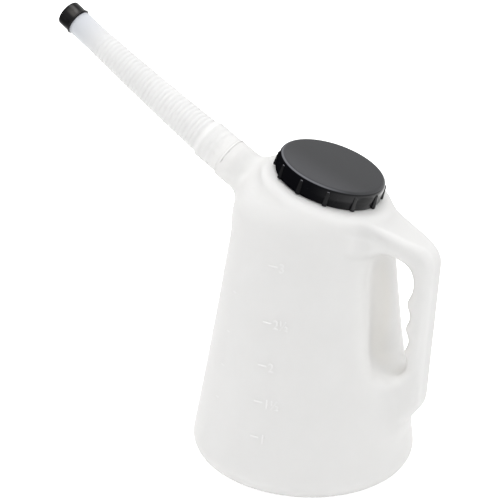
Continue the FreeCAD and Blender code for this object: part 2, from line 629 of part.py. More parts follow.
def hoop(run, radius):
    """A ring square to the tube's centre line."""
    point, direction = on_bend(run)
    return Part.Wire([Part.makeCircle(radius, point, direction)])


folds = int(size["fold_count"])
folded = size["fold_count"] * size["fold_pitch"]
shrink = (value_of(TUBE_START) - value_of(TUBE_END)) / folded
hoops = []
for fold in range(folds):
    run = fold * size["fold_pitch"]
    hoops.append(hoop(run, value_of(TUBE_START) - size["fold_depth"] - shrink * run))
    run = run + size["fold_pitch"] / 2
    hoops.append(hoop(run, value_of(TUBE_START) - shrink * run))
hoops.append(hoop(folded, size["tip_radius"]))
hoops.append(hoop(folded + size["tip_length"], size["tip_radius"]))
tube = doc.addObject("Part::Feature", "tube")
tube.Shape = Part.makeLoft(hoops, True, True)
plug = doc.addObject("Part::Feature", "plug")
plug.Shape = Part.makeLoft([
    hoop(folded + size["tip_length"] - 1, value_of(TIP_PLUG)),
    hoop(folded + size["tip_length"] + size["plug_length"], value_of(TIP_PLUG)),
], True, True)
bore_start = value_of(TUBE_START) - size["fold_depth"] - size["tube_wall"]
bore_end = value_of(TIP_PLUG) - size["tube_wall"]
tube_bore = doc.addObject("Part::Feature", "tube_bore")
tube_bore.Shape = Part.makeLoft([
    hoop(-size["nozzle_gap"], bore_start),
    hoop(0.0, bore_start),
    hoop(folded / 2, (bore_start + bore_end) / 2),
    hoop(folded, bore_end),
    hoop(folded + size["tip_length"] + size["plug_length"] + 1, bore_end),
], True, True)
spout = doc.addObject("Part::Cut", "flexible_spout")
spout.Label = "flexible_spout"
spout.Base = joined("spout_outside", [cuff, tube, plug])
spout.Tool = joined("spout_inside", [cuff_bore, tube_bore])
spout.Refine = False
place(spout, NECK_X, NECK_Z, "0", "Sizes.neck_lean", False)

# the sealing ring between the neck's lip and the step inside the cuff
washer = doc.addObject("Part::Cut", "spout_seal")
washer.Label = "spout_seal"
washer_disc = doc.addObject("Part::Cylinder", "washer_disc")
washer_disc.setExpression("Radius", f"{CUFF_RADIUS}-Sizes.cuff_wall-Sizes.seal_clear")
washer_disc.setExpression("Height", "Sizes.washer_thick")
washer_hole = doc.addObject("Part::Cylinder", "washer_hole")
washer_hole.setExpression("Radius", f"{NOZZLE_RADIUS}-Sizes.skin")
washer_hole.setExpression("Height", "Sizes.washer_thick")
washer.Base = washer_disc
washer.Tool = washer_hole
place(washer, NECK_X, NECK_Z, "Sizes.seat_gap-Sizes.nozzle_gap",
      "Sizes.neck_lean", False)

# the push-on cap over the spout's end
cap = doc.addObject("PartDesign::Body", "spout_cap")
cap.Label = "spout_cap"
hat = sketch_on(cap, "hat", "XZ_Plane")
cap_bore = f"{TIP_PLUG}+Sizes.cap_clear"
outline(hat, [
    (cap_bore, "Sizes.seat_gap"),
    (f"{CAP_BEAD}-Sizes.cap_bead_round", "Sizes.seat_gap", "90"),
    (CAP_BEAD, "Sizes.seat_gap+Sizes.cap_bead_round", "90"),
    (f"{CAP_BEAD}-Sizes.cap_bead_round", "Sizes.seat_gap+2*Sizes.cap_bead_round"),
    (cap_bore + "+Sizes.cap_wall", "Sizes.seat_gap+2*Sizes.cap_bead_round"),
    (cap_bore + "+Sizes.cap_wall", "Sizes.cap_length-Sizes.cap_round", "90"),
    (cap_bore + "+Sizes.cap_wall-Sizes.cap_round", "Sizes.cap_length"),
    ("0", "Sizes.cap_length"),
    ("0", "Sizes.cap_length-Sizes.cap_wall"),
    (cap_bore, "Sizes.cap_length-Sizes.cap_wall"),
])
revolve(cap, "hat_turned", hat)
end_run = "(Sizes.fold_count*Sizes.fold_pitch+Sizes.tip_length)"
end_turn = "(%s/Sizes.bend_radius*180/pi)" % end_run
cap.Placement = FreeCAD.Placement(
    FreeCAD.Vector(), FreeCAD.Rotation(FreeCAD.Vector(0, -1, 0), 10))
cap.setExpression("Placement.Base.x",
                  f"{NECK_X}-Sizes.bend_radius*(cos(Sizes.neck_lean-%s)"
                  "-cos(Sizes.neck_lean))" % end_turn)
cap.setExpression("Placement.Base.z",
                  f"{NECK_Z}+Sizes.bend_radius*(sin(Sizes.neck_lean)"
                  "-sin(Sizes.neck_lean-%s))" % end_turn)
cap.setExpression("Placement.Rotation.Angle", "Sizes.neck_lean-%s" % end_turn)
doc.recompute()

pieces = [jug, lid, seal, spout, washer, cap]
for thing in doc.Objects:
    if "Invalid" in thing.State or "Error" in thing.State:
        raise RuntimeError(thing.Name + " failed: " + ", ".join(thing.State))
for piece in pieces:
    if piece.Shape.isNull() or not piece.Shape.isValid():
        raise RuntimeError(piece.Label + " has no valid shape")
os.makedirs("parts", exist_ok=True)
for piece in pieces:
    piece.Shape.exportStep("parts/%s.step" % piece.Label)
    solid = piece.Shape
    print(piece.Label, len(solid.Solids), "solid,", round(solid.Volume / 1000, 1), "cm3")
print("inside", round(inside.Shape.Volume / 1e6, 3), "litres to the brim")
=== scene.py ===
import math
import bpy
import numpy as np
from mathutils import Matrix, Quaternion, Vector


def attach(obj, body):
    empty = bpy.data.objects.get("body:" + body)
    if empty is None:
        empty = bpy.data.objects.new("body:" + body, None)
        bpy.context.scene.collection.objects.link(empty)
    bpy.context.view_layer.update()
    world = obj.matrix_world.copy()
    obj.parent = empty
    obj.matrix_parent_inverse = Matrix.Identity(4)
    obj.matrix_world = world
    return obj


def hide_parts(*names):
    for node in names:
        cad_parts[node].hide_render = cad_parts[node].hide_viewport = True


# Oil measuring jug: milky polyethylene moulding, black screw lid, folded spout, black cap.
# The frame is the CAD model's: origin at the centre of the base, +Z up, spout to -X,
# handle to +X, litre marks on -Y. Forms are worked out in millimetres and made in metres.

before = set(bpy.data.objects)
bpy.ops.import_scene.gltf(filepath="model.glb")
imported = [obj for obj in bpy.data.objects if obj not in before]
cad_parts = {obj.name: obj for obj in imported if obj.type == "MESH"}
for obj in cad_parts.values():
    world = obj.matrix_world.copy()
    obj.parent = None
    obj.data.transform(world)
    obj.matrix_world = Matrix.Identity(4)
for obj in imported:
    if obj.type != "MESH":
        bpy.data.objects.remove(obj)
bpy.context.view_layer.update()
MM = 0.001

# ---------------------------------------------------------------- the jug's form, in millimetres
BASE_R, CROWN_R, BODY_H = 90.0, 56.8, 220.0
WALL_SAG = 1.02
BASE_ROUND, CROWN_ROUND = 11.4, 20.0
FOOT_R, PUSH_UP = 66.6, 2.5
MOUTH = (9.06, 221.35)
MOUTH_TILT = math.radians(16.86)
COLLAR_R, STEP_R, STEP_RISE = 50.0, 40.2, 2.5
NECK = (-97.8, 241.5)
NECK_LEAN = math.radians(59.8)
NECK_R, NECK_STEP = 16.0, -27.0
GRIP_REACH, GRIP_W, GRIP_ROUND = 101.3, 23.0, 6.5
STRAP = (45.0, 211.4)
STRAP_DROP = math.radians(22.3)
RECESS_X, RECESS_R, RECESS_LOW, RECESS_HIGH, RECESS_END = 83.0, 27.0, 88.0, 184.0, 24.0
# how softly one form of the moulding runs into the next
MOUTH_SEAM, RECESS_SEAM, NECK_SEAM = 4.0, 21.0, 11.0
COLLAR_SEAM, COLLAR_SEAM_MORE = 7.5, 9.0
STRAP_EDGE = 4.0
# the strap's half width along x, and what the grip's root adds to it low down
STRAP_PLACES, STRAP_HALVES = [50, 57.6, 68.7, 81, 91, 99], [29, 23.5, 19, 15.5, 12.2, 11.5]
ROOT_PLACES, ROOT_SPREADS = [74, 80, 86, 96], [9.0, 5.5, 2.5, 0.0]


def arc_between(a, b, turn, steps=8):
    """Points of the arc from a to b that sweeps a turn in degrees, positive to the left."""
    a = np.array(a, float)
    b = np.array(b, float)
    if abs(turn) < 1e-6:
        return [a]
    half = math.radians(turn) / 2
    chord = b - a
    centre = (a + b) / 2 + np.array([-chord[1], chord[0]]) * (0.5 / math.tan(half))
    points = []
    for i in range(steps):
        angle = 2 * half * i / steps
        spin = np.array([[math.cos(angle), -math.sin(angle)], [math.sin(angle), math.cos(angle)]])
        points.append(centre + spin @ (a - centre))
    return points


def trace(corners, steps=8):
    """A closed outline from corners (x, y) or (x, y, turn of the arc that leaves it)."""
    points = []
    for i, corner in enumerate(corners):
        after = corners[(i + 1) % len(corners)]
        turn = corner[2] if len(corner) > 2 else 0.0
        points += arc_between(corner[:2], after[:2], turn, steps)
    return np.array(points)


def rounded(points, which, radius, steps=6):
    """Replace one corner of an outline by a tangent arc."""
    before, here, after = points[which - 1], points[which], points[(which + 1) % len(points)]
    u = (before - here) / np.linalg.norm(before - here)
    v = (after - here) / np.linalg.norm(after - here)
    angle = math.acos(float(np.clip(u @ v, -1, 1)))
    reach = radius / math.tan(angle / 2)
    centre = here + (u + v) / np.linalg.norm(u + v) * radius / math.sin(angle / 2)
    start, end = here + u * reach - centre, here + v * reach - centre
    arc = []
    for t in np.linspace(0, 1, steps + 1):
        p = start * (1 - t) + end * t
        arc.append(centre + p / np.linalg.norm(p) * radius)
    return np.concatenate([points[:which], np.array(arc), points[which + 1:]])


def outline_distance(px, py, points):
    """Signed distance to a closed outline, negative inside."""
    near = np.full(px.shape, 1e9)
    inside = np.zeros(px.shape, bool)
    for a, b in zip(points, np.roll(points, -1, axis=0)):
        ex, ey = b - a
        dx, dy = px - a[0], py - a[1]
        t = np.clip((dx * ex + dy * ey) / (ex * ex + ey * ey + 1e-12), 0, 1)
        near = np.minimum(near, (dx - ex * t) ** 2 + (dy - ey * t) ** 2)
        crosses = (a[1] > py) != (b[1] > py)
        with np.errstate(divide="ignore", invalid="ignore"):
            at = a[0] + (py - a[1]) / (b[1] - a[1] + 1e-12) * (b[0] - a[0])
        inside ^= crosses & (px < at)
    return np.where(inside, -1, 1) * np.sqrt(near)


class Table:
    """An outline's distance stored on a fine plane grid and read back smoothly."""

    def __init__(self, points, low, high, step=0.5):
        self.low, self.step = np.array(low, float), step
        xs = np.arange(low[0], high[0] + step, step)
        ys = np.arange(low[1], high[1] + step, step)
        self.values = outline_distance(*np.meshgrid(xs, ys, indexing="ij"), points)

    def __call__(self, x, y):
        u = np.clip((x - self.low[0]) / self.step, 0, self.values.shape[0] - 1.001)
        v = np.clip((y - self.low[1]) / self.step, 0, self.values.shape[1] - 1.001)
        i, j = u.astype(int), v.astype(int)
        u, v = u - i, v - j
        w = self.values
        return ((w[i, j] * (1 - u) + w[i + 1, j] * u) * (1 - v)
                + (w[i, j + 1] * (1 - u) + w[i + 1, j + 1] * u) * v)


def merge(a, b, soft):
    """Union of two distance fields with a soft seam."""
    share = np.clip(0.5 + 0.5 * (b - a) / soft, 0, 1)
    return b * (1 - share) + a * share - soft * share * (1 - share)


def carve(a, b, soft):
    """Field a less field b, with a soft edge."""
    return -merge(-a, b, soft)


def ease(x, low, high):
    """0 below low, 1 above high, smooth between."""
    t = np.clip((x - low) / (high - low), 0, 1)
    return t * t * (3 - 2 * t)


def wall_outline():
    """The body's section: hollow-ground wall, rounded foot and crown, pushed-up base."""
    heights = np.linspace(0, BODY_H, 13)
    share = heights / BODY_H
    radii = BASE_R + (CROWN_R - BASE_R) * share - 4 * WALL_SAG * share * (1 - share)
    past_axis = -40.0
    base = [(past_axis, PUSH_UP), (FOOT_R - PUSH_UP, PUSH_UP), (FOOT_R, 0.0)]
    points = np.array(base + list(zip(radii, heights)) + [(past_axis, BODY_H)])
    points = rounded(points, len(points) - 2, CROWN_ROUND, 10)
    return rounded(points, len(base), BASE_ROUND, 10)


def grip_outline():
    """The grip's side view, with its finger hollows, from the strap down to its root."""
    turn, pitch, ridge_low, share, count = 58.0, 19.5, 107.0, 0.38, 3
    top_round, low_round, low_z, low_turn = 17.0, 22.0, 71.5, 62.0
    hole_top, hole_bottom, foot = 184.0, 83.0, 43.0
    inner = GRIP_REACH - 19.0
    lean_in, lean_out, upright_at = 2.1, 0.022, 150.0
    strap_in, root_in = 30.0, 50.0
    half = share * pitch / 2

    def bend_x(height):
        """The finger hollows' line, which leans out a little towards the base."""
        return inner + half * math.tan(math.radians(turn) / 4) + lean_out * (upright_at - height)

    slack = math.radians(turn) / 2
    reach = top_round * math.tan((math.pi / 2 - STRAP_DROP) / 2)
    peak = STRAP[1] - (GRIP_REACH - STRAP[0]) * math.tan(STRAP_DROP)
    low_a = math.radians(low_turn)
    sweep = (ridge_low - half - hole_bottom) / (1 + math.sin(slack))
    top = ridge_low + (count - 1) * pitch + half
    arch = (hole_top - top) / (1 + math.sin(slack))
    wall = BASE_R - (BASE_R - CROWN_R) * foot / BODY_H - 1.2
    corners = [
        (strap_in, STRAP[1] + (STRAP[0] - strap_in) * math.tan(STRAP_DROP)),
        (GRIP_REACH - reach * math.cos(STRAP_DROP), peak + reach * math.sin(STRAP_DROP),
         math.degrees(STRAP_DROP) - 90),
        (GRIP_REACH, peak - reach),
        (GRIP_REACH - lean_in, low_z, -low_turn),
        (GRIP_REACH - lean_in - low_round * (1 - math.cos(low_a)),
         low_z - low_round * math.sin(low_a), low_turn + 4),
        (wall, foot), (root_in, foot), (root_in, hole_bottom),
        (bend_x(hole_bottom) - sweep * math.cos(slack), hole_bottom, 90 + turn / 2),
    ]
    for ridge in range(count):
        height = ridge_low + ridge * pitch
        corners += [(bend_x(height), height - half, -turn), (bend_x(height), height + half, turn)]
    corners[-1] = (bend_x(top), top, 90 + turn / 2)
    corners += [(bend_x(top) - arch * math.cos(slack), hole_top), (strap_in, hole_top)]
    return trace(corners)


COLLAR_ROOT, COLLAR_ROUND = -42.0, 6.0
NECK_ROOT, NECK_ROUND = -64.0, 0.1
collar_outline = rounded(np.array([(-30.0, COLLAR_ROOT), (COLLAR_R, COLLAR_ROOT), (COLLAR_R, 0.0),
                                   (STEP_R, STEP_RISE), (-30.0, STEP_RISE)]), 2, COLLAR_ROUND, 8)
neck_outline = rounded(np.array([(-15.0, NECK_ROOT), (NECK_R, NECK_ROOT), (NECK_R, NECK_STEP),
                                 (-15.0, NECK_STEP)]), 2, NECK_ROUND, 2)
wall_field = Table(wall_outline(), (-10, -12), (125, 262))
grip_field = Table(grip_outline(), (20, 20), (125, 240))
collar_field = Table(collar_outline, (-2, -120), (140, 60))
neck_field = Table(neck_outline, (-2, -200), (140, 80))


def about_axis(x, y, z, origin, lean):
    """Distance from a leaning axis in the jug's middle plane, and the height along it."""
    dx, dz = x - origin[0], z - origin[1]
    along = dx * math.sin(lean) + dz * math.cos(lean)
    aside = dx * math.cos(lean) - dz * math.sin(lean)
    return np.hypot(aside, y), along


def jug_field(x, y, z):
    """Signed distance, near enough, to the outside of the moulding."""
    field = wall_field(np.hypot(x, y), z)
    m_r, m_h = about_axis(x, y, z, MOUTH, MOUTH_TILT)
    field = carve(field, -m_h, MOUTH_SEAM)
    # the finger recess, a capsule let into the wall behind the grip
    q_r = np.hypot(x - RECESS_X, y) - RECESS_R + RECESS_END
    q_z = np.abs(z - (RECESS_LOW + RECESS_HIGH) / 2) - (RECESS_HIGH - RECESS_LOW) / 2 + RECESS_END
    recess = np.hypot(np.maximum(q_r, 0), np.maximum(q_z, 0)) + np.minimum(np.maximum(q_r, q_z), 0)
    field = carve(field, recess - RECESS_END, RECESS_SEAM)
    # pouring neck, then the collar against both
    n_r, n_s = about_axis(x, y, z, NECK, -NECK_LEAN)
    field = merge(field, neck_field(n_r, n_s), NECK_SEAM)
    near_neck = 1 - ease(x, -46, -24)
    field = merge(field, collar_field(m_r, m_h), COLLAR_SEAM + COLLAR_SEAM_MORE * near_neck)
    # grip, strap and root: one bar, as wide as the place asks, with rounded edges
    side = grip_field(x, z)
    below_strap = STRAP[1] - (x - STRAP[0]) * math.tan(STRAP_DROP) - z
    upper = ease(z, 172, 184)
    width = GRIP_W / 2 + upper * (np.interp(x, STRAP_PLACES, STRAP_HALVES) - GRIP_W / 2)
    root = 1 - ease(z, 84, 104)
    width = width + root * np.interp(x, ROOT_PLACES, ROOT_SPREADS)
    crisp = (1 - ease(below_strap, 3, 10)) * (1 - ease(x, 84, 97))
    edge = GRIP_ROUND - (GRIP_ROUND - STRAP_EDGE) * crisp
    d2 = side + edge
    d1 = np.abs(y) - width + edge
    grip = np.hypot(np.maximum(d2, 0), np.maximum(d1, 0)) + np.minimum(np.maximum(d2, d1), 0) - edge
    # the seam is soft at the root, tight behind the fingers and soft again under the strap
    soft = 18 - 12 * ease(z, 100, 150) - 2 * ease(z, 160, 180)
    soft = soft + 13 * ease(z, 178, 190) * ease(below_strap, 2, 11)
    soft = soft - 2 * (1 - ease(below_strap, 1, 5)) * upper
    return merge(field, grip, soft)


def gradient(field, p, step=0.05):
    """Slope of a field at points p."""
    out = np.zeros_like(p)
    for axis in range(3):
        shift = np.zeros(3)
        shift[axis] = step
        out[:, axis] = (field(*(p + shift).T) - field(*(p - shift).T)) / (2 * step)
    return out


def skin_mesh(field, low, high, step):
    """Points and four-sided faces of the surface where the field is zero."""
    axes = [np.arange(low[i], high[i] + step, step) for i in range(3)]
    shape = [len(a) for a in axes]
    values = np.empty(shape, np.float32)
    for i, x in enumerate(axes[0]):
        y, z = np.meshgrid(axes[1], axes[2], indexing="ij")
        values[i] = field(np.full(y.shape, x), y, z)
    inside = values < 0
    cut = [s - 1 for s in shape]
    corners = [(i, j, k) for i in (0, 1) for j in (0, 1) for k in (0, 1)]
    count = np.zeros(cut, np.int8)
    for i, j, k in corners:
        count += inside[i:i + cut[0], j:j + cut[1], k:k + cut[2]]
    cells = np.argwhere((count > 0) & (count < 8))
    number = np.full(cut, -1, int)
    number[tuple(cells.T)] = np.arange(len(cells))
    total = np.zeros((len(cells), 3))
    hits = np.zeros((len(cells), 1))
    for a in corners:
        for axis in range(3):
            if a[axis]:
                continue
            b = list(a)
            b[axis] = 1
            fa = values[tuple((cells + a).T)].astype(float)
            fb = values[tuple((cells + b).T)].astype(float)
            crossing = ((fa < 0) != (fb < 0))[:, None]
            share = (fa / np.where(fa == fb, 1, fa - fb))[:, None]
            total += np.where(crossing, np.array(a) + share * (np.array(b) - a), 0)
            hits += crossing
    points = np.array(low) + step * (cells + total / hits)
    faces = []
    for axis in range(3):
        u, v = (axis + 1) % 3, (axis + 2) % 3
        ahead = np.zeros(3, int)
        ahead[axis] = 1
        size = [shape[i] - (1 if i == axis else 0) for i in range(3)]
        here = inside[:size[0], :size[1], :size[2]]
        there = inside[tuple(slice(ahead[i], ahead[i] + size[i]) for i in range(3))]
        edges = np.argwhere(here != there)
        keep = (edges[:, u] > 0) & (edges[:, v] > 0) & (edges[:, u] < cut[u]) & (edges[:, v] < cut[v])
        edges = edges[keep]
        du, dv = np.zeros(3, int), np.zeros(3, int)
        du[u], dv[v] = 1, 1
        ring = [edges - du - dv, edges - dv, edges, edges - du]
        quad = np.stack([number[tuple(c.T)] for c in ring], axis=1)
        flip = ~here[tuple(edges.T)]
        quad[flip] = quad[flip][:, ::-1]
        faces.append(quad)
    return points, np.concatenate(faces)


def settle(field, points, faces, rounds, step):
    """Even the points out over the surface and draw them back onto it."""
    count = len(points)
    for turn in range(rounds + 1):
        if turn:
            total = np.zeros((count, 3))
            near = np.zeros((count, 1))
            for i in range(4):
                a, b = faces[:, i], faces[:, (i + 1) % 4]
                for axis in range(3):
                    total[:, axis] += np.bincount(a, points[b, axis], count)
                    total[:, axis] += np.bincount(b, points[a, axis], count)
                near[:, 0] += np.bincount(a, minlength=count) + np.bincount(b, minlength=count)
            points = points * 0.5 + total / np.maximum(near, 1) * 0.5
        for _ in range(2):
            slope = gradient(field, points)
            value = field(*points.T)[:, None]
            move = slope * value / np.maximum((slope ** 2).sum(1, keepdims=True), 0.1)
            points = points - np.clip(move, -step, step)
    return points


# ---------------------------------------------------------------- making meshes
def make_object(name, points, faces, material, smooth=True):
    """A mesh object from points in millimetres."""
    mesh = bpy.data.meshes.new(name)
    mesh.from_pydata((np.asarray(points) * MM).tolist(), [], [list(map(int, f)) for f in faces])
    mesh.materials.append(material)
    if smooth:
        mesh.shade_smooth()
    mesh.update()
    thing = bpy.data.objects.new(name, mesh)
    bpy.context.scene.collection.objects.link(thing)
    return thing


def lean_frame(origin, lean):
    """Map points drawn round +Z to the axis that leans in the jug's middle plane."""
    def place(p):
        p = np.asarray(p, float)
        x = p[:, 0] * math.cos(lean) + p[:, 2] * math.sin(lean) + origin[0]
        z = -p[:, 0] * math.sin(lean) + p[:, 2] * math.cos(lean) + origin[1]
        return np.stack([x, p[:, 1], z], axis=1)
    return place


def lathe(profile, segments, closed=True):
    """Points and faces of a profile (radius, height) turned round Z. The profile runs so that
    the material lies on its left when it is drawn with radius to the right and height up."""
    profile = np.asarray(profile, float)
    count = len(profile)
    angle = np.arange(segments) * 2 * math.pi / segments
    points = np.stack([
        np.outer(profile[:, 0], np.cos(angle)),
        np.outer(profile[:, 0], np.sin(angle)),
        np.repeat(profile[:, 1][:, None], segments, axis=1)], axis=2).reshape(-1, 3)
    faces = []
    last = count if closed else count - 1
    for i in range(last):
        j = (i + 1) % count
        for k in range(segments):
            n = (k + 1) % segments
            faces.append((i * segments + k, i * segments + n, j * segments + n, j * segments + k))
    return points, faces


def combine(parts):
    """Several (points, faces) as one."""
    points, faces, start = [], [], 0
    for p, f in parts:
        points.append(np.asarray(p, float))
        faces += [[i + start for i in face] for face in f]
        start += len(p)
    return np.concatenate(points), faces


def helix_ridge(radius, low, turns, pitch, width, height, steps):
    """A closed thread ridge round Z, tapering out at both ends."""
    points, faces = [], []
    total = int(turns * steps)
    for i in range(total + 1):
        angle = 2 * math.pi * i / steps
        rise = low + pitch * i / steps
        fade = min(1.0, 4.0 * min(i, total - i) / steps)
        crest = radius - 0.2 + (height + 0.2) * fade
        ring = [(radius - 0.3, -width / 2), (crest, -width / 6), (crest, width / 6),
                (radius - 0.3, width / 2)]
        points += [(r * math.cos(angle), r * math.sin(angle), rise + h) for r, h in ring]
    for i in range(total):
        for k in range(4):
            n = (k + 1) % 4
            a, b = i * 4, (i + 1) * 4
            faces.append((a + k, b + k, b + n, a + n))
    faces.append((0, 1, 2, 3))
    faces.append((total * 4 + 3, total * 4 + 2, total * 4 + 1, total * 4))
    return np.array(points), faces


# ---------------------------------------------------------------- shared shader effects
def new_group(name, outputs, inputs):
    """An empty shader group with its sockets, and its two end nodes."""
    group = bpy.data.node_groups.new(name, "ShaderNodeTree")
    for label, kind, value in inputs:
        socket = group.interface.new_socket(label, in_out="INPUT", socket_type=kind)
        socket.default_value = value
    for label, kind in outputs:
        group.interface.new_socket(label, in_out="OUTPUT", socket_type=kind)
    start = group.nodes.new("NodeGroupInput")
    end = group.nodes.new("NodeGroupOutput")
    return group, start, end


def add(tree, kind, **values):
    """A node with some of its settings and inputs given."""
    node = tree.nodes.new(kind)
    for key, value in values.items():
        if hasattr(node, key):
            setattr(node, key, value)
        else:
            node.inputs[key.replace("_", " ")].default_value = value
    return node


def plastic_wear_group():
    """Fine moulding texture: a bump normal, a roughness and a light and dark mask."""
    tree, start, end = new_group("moulded_plastic", [
        ("Normal", "NodeSocketVector"), ("Roughness", "NodeSocketFloat"), ("Mask", "NodeSocketFloat")],
        [("Grain size", "NodeSocketFloat", 900.0), ("Grain depth", "NodeSocketFloat", 0.05),
         ("Base roughness", "NodeSocketFloat", 0.4), ("Roughness spread", "NodeSocketFloat", 0.08)])
    link = tree.links.new
    where = add(tree, "ShaderNodeTexCoord")
    grain = add(tree, "ShaderNodeTexNoise", Detail=3.0, Roughness=0.6)
    link(where.outputs["Object"], grain.inputs["Vector"])
    link(start.outputs["Grain size"], grain.inputs["Scale"])
    broad = add(tree, "ShaderNodeTexNoise", Scale=22.0, Detail=4.0, Roughness=0.55)
    link(where.outputs["Object"], broad.inputs["Vector"])
    soft = add(tree, "ShaderNodeTexNoise", Scale=9.0, Detail=2.0, Roughness=0.4)
    link(where.outputs["Object"], soft.inputs["Vector"])
    waves = add(tree, "ShaderNodeBump", Strength=0.05, Distance=0.004)
    link(soft.outputs["Fac"], waves.inputs["Height"])
    bump = add(tree, "ShaderNodeBump", Distance=0.0004)
    link(grain.outputs["Fac"], bump.inputs["Height"])
    link(start.outputs["Grain depth"], bump.inputs["Strength"])
    link(waves.outputs["Normal"], bump.inputs["Normal"])
    link(bump.outputs["Normal"], end.inputs["Normal"])
    spread = add(tree, "ShaderNodeMath", operation="MULTIPLY_ADD")
    link(broad.outputs["Fac"], spread.inputs[0])
    link(start.outputs["Roughness spread"], spread.inputs[1])
    link(start.outputs["Base roughness"], spread.inputs[2])
    link(spread.outputs[0], end.inputs["Roughness"])
    link(broad.outputs["Fac"], end.inputs["Mask"])
    return tree


plastic_wear = plastic_wear_group()


def two_tones(tree, first, second, low=0.0, high=1.0):
    """A colour ramp from one colour to another."""
    ramp = add(tree, "ShaderNodeValToRGB")
    for element, colour, place in zip(ramp.color_ramp.elements, (first, second), (low, high)):
        element.position = place
        element.color = (*colour, 1)
    return ramp


def tint_where(tree, mask, colour, source):
    """Mix a colour into another where the mask is 1."""
    mix = add(tree, "ShaderNodeMix", data_type="RGBA")
    mix.inputs["B"].default_value = (*colour, 1)
    tree.links.new(mask, mix.inputs["Factor"])
    tree.links.new(source, mix.inputs["A"])
    return mix.outputs["Result"]


def share_between(tree, value, low, high, kind="SMOOTHSTEP"):
    """A mask that is 0 where a value is at low and 1 where it is at high."""
    share = add(tree, "ShaderNodeMapRange", interpolation_type=kind, From_Min=low, From_Max=high)
    tree.links.new(value, share.inputs["Value"])
    return share.outputs["Result"]


def level_where(tree, mask, level, source):
    """A number that goes from its source, a value or a socket, to a level where the mask is 1."""
    step = add(tree, "ShaderNodeMapRange", To_Max=level)
    if isinstance(source, float):
        step.inputs["To Min"].default_value = source
    else:
        tree.links.new(source, step.inputs["To Min"])
    tree.links.new(mask, step.inputs["Value"])
    return step.outputs["Result"]


def material(name, light, dark, rough, spread, grain, depth, soft=0.0, scatter=0.01,
             specular=0.5, tints=(), soft_where=None, matt=None, gloss=()):
    """A plastic or rubber: two tones mixed by a slow mask, with grain and uneven gloss.

    tints and gloss are lists of (mask, colour) and (mask, specular level), each laid over the
    last. matt is (mask, roughness). Light goes into the plastic where soft_where is 1."""
    made = bpy.data.materials.new(name)
    made.use_nodes = True
    tree = made.node_tree
    shader = tree.nodes["Principled BSDF"]
    wear = add(tree, "ShaderNodeGroup", node_tree=plastic_wear)
    wear.inputs["Grain size"].default_value = grain
    wear.inputs["Grain depth"].default_value = depth
    wear.inputs["Base roughness"].default_value = rough
    wear.inputs["Roughness spread"].default_value = spread
    if matt:
        mask, level = matt
        tree.links.new(level_where(tree, mask(tree), level, rough), wear.inputs["Base roughness"])
    ramp = two_tones(tree, dark, light, 0.35, 0.65)
    tree.links.new(wear.outputs["Mask"], ramp.inputs["Fac"])
    paint = ramp.outputs["Color"]
    for mask, tint in tints:
        paint = tint_where(tree, mask(tree), tint, paint)
    tree.links.new(paint, shader.inputs["Base Color"])
    tree.links.new(wear.outputs["Roughness"], shader.inputs["Roughness"])
    tree.links.new(wear.outputs["Normal"], shader.inputs["Normal"])
    shader.inputs["Subsurface Weight"].default_value = soft
    if soft_where:
        amount = add(tree, "ShaderNodeMath", operation="MULTIPLY")
        amount.inputs[1].default_value = soft
        tree.links.new(soft_where(tree), amount.inputs[0])
        tree.links.new(amount.outputs[0], shader.inputs["Subsurface Weight"])
    shader.inputs["Subsurface Radius"].default_value = (1.0, 1.0, 1.0)
    shader.inputs["Subsurface Scale"].default_value = scatter
    shader.inputs["Specular IOR Level"].default_value = specular
    shine = specular
    for mask, level in gloss:
        shine = level_where(tree, mask(tree), level, shine)
        tree.links.new(shine, shader.inputs["Specular IOR Level"])
    return made


def object_places(tree, kind="Object"):
    """The piece's own coordinates, or with Normal its own normals."""
    return tree.nodes.new("ShaderNodeTexCoord").outputs[kind]


def in_recess(tree):
    """1 deep in the finger recess, where light bounces between the walls and turns warm."""
    around = add(tree, "ShaderNodeMapping", vector_type="TEXTURE")
    around.inputs["Location"].default_value = (0.060, 0.0, 0.134)
    around.inputs["Scale"].default_value = (0.024, 0.026, 0.056)
    tree.links.new(object_places(tree), around.inputs["Vector"])
    far = add(tree, "ShaderNodeVectorMath", operation="LENGTH")
    tree.links.new(around.outputs["Vector"], far.inputs[0])
    return share_between(tree, far.outputs["Value"], 1.0, 0.55)


def along(direction, low, high, kind="Object"):
    """A mask that grows from 0 to 1 along a direction, between two distances in metres.
    With Normal it grows with the cosine between the direction and the surface's normal."""
    def build(tree):
        dot = add(tree, "ShaderNodeVectorMath", operation="DOT_PRODUCT")
        dot.inputs[1].default_value = direction
        tree.links.new(object_places(tree, kind), dot.inputs[0])
        return share_between(tree, dot.outputs["Value"], low, high)
    return build


def both(first, second):
    """A mask that is 1 only where two masks are."""
    def build(tree):
        share = add(tree, "ShaderNodeMath", operation="MULTIPLY")
        tree.links.new(first(tree), share.inputs[0])
        tree.links.new(second(tree), share.inputs[1])
        return share.outputs[0]
    return build


def on_lid_ribs(tree):
    """1 where the lid's ribs stand out past its skirt."""
    from_axis = add(tree, "ShaderNodeVectorMath", operation="SUBTRACT")
    from_axis.inputs[1].default_value = (MOUTH[0] * MM, 0.0, MOUTH[1] * MM)
    tree.links.new(object_places(tree), from_axis.inputs[0])
    turned = add(tree, "ShaderNodeVectorMath", operation="CROSS_PRODUCT")
    turned.inputs[1].default_value = MOUTH_AXIS
    tree.links.new(from_axis.outputs["Vector"], turned.inputs[0])
    far = add(tree, "ShaderNodeVectorMath", operation="LENGTH")
    tree.links.new(turned.outputs["Vector"], far.inputs[0])
    return share_between(tree, far.outputs["Value"], (LID_R + 0.1) * MM, (LID_R + 0.5) * MM, "LINEAR")


def at_the_limb(tree):
    """1 where the surface turns away from the eye; the plastics are painted darker there, as painted
    shade.
    """
    facing = add(tree, "ShaderNodeLayerWeight", Blend=0.5)
    return share_between(tree, facing.outputs["Facing"], 0.35, 1.0)


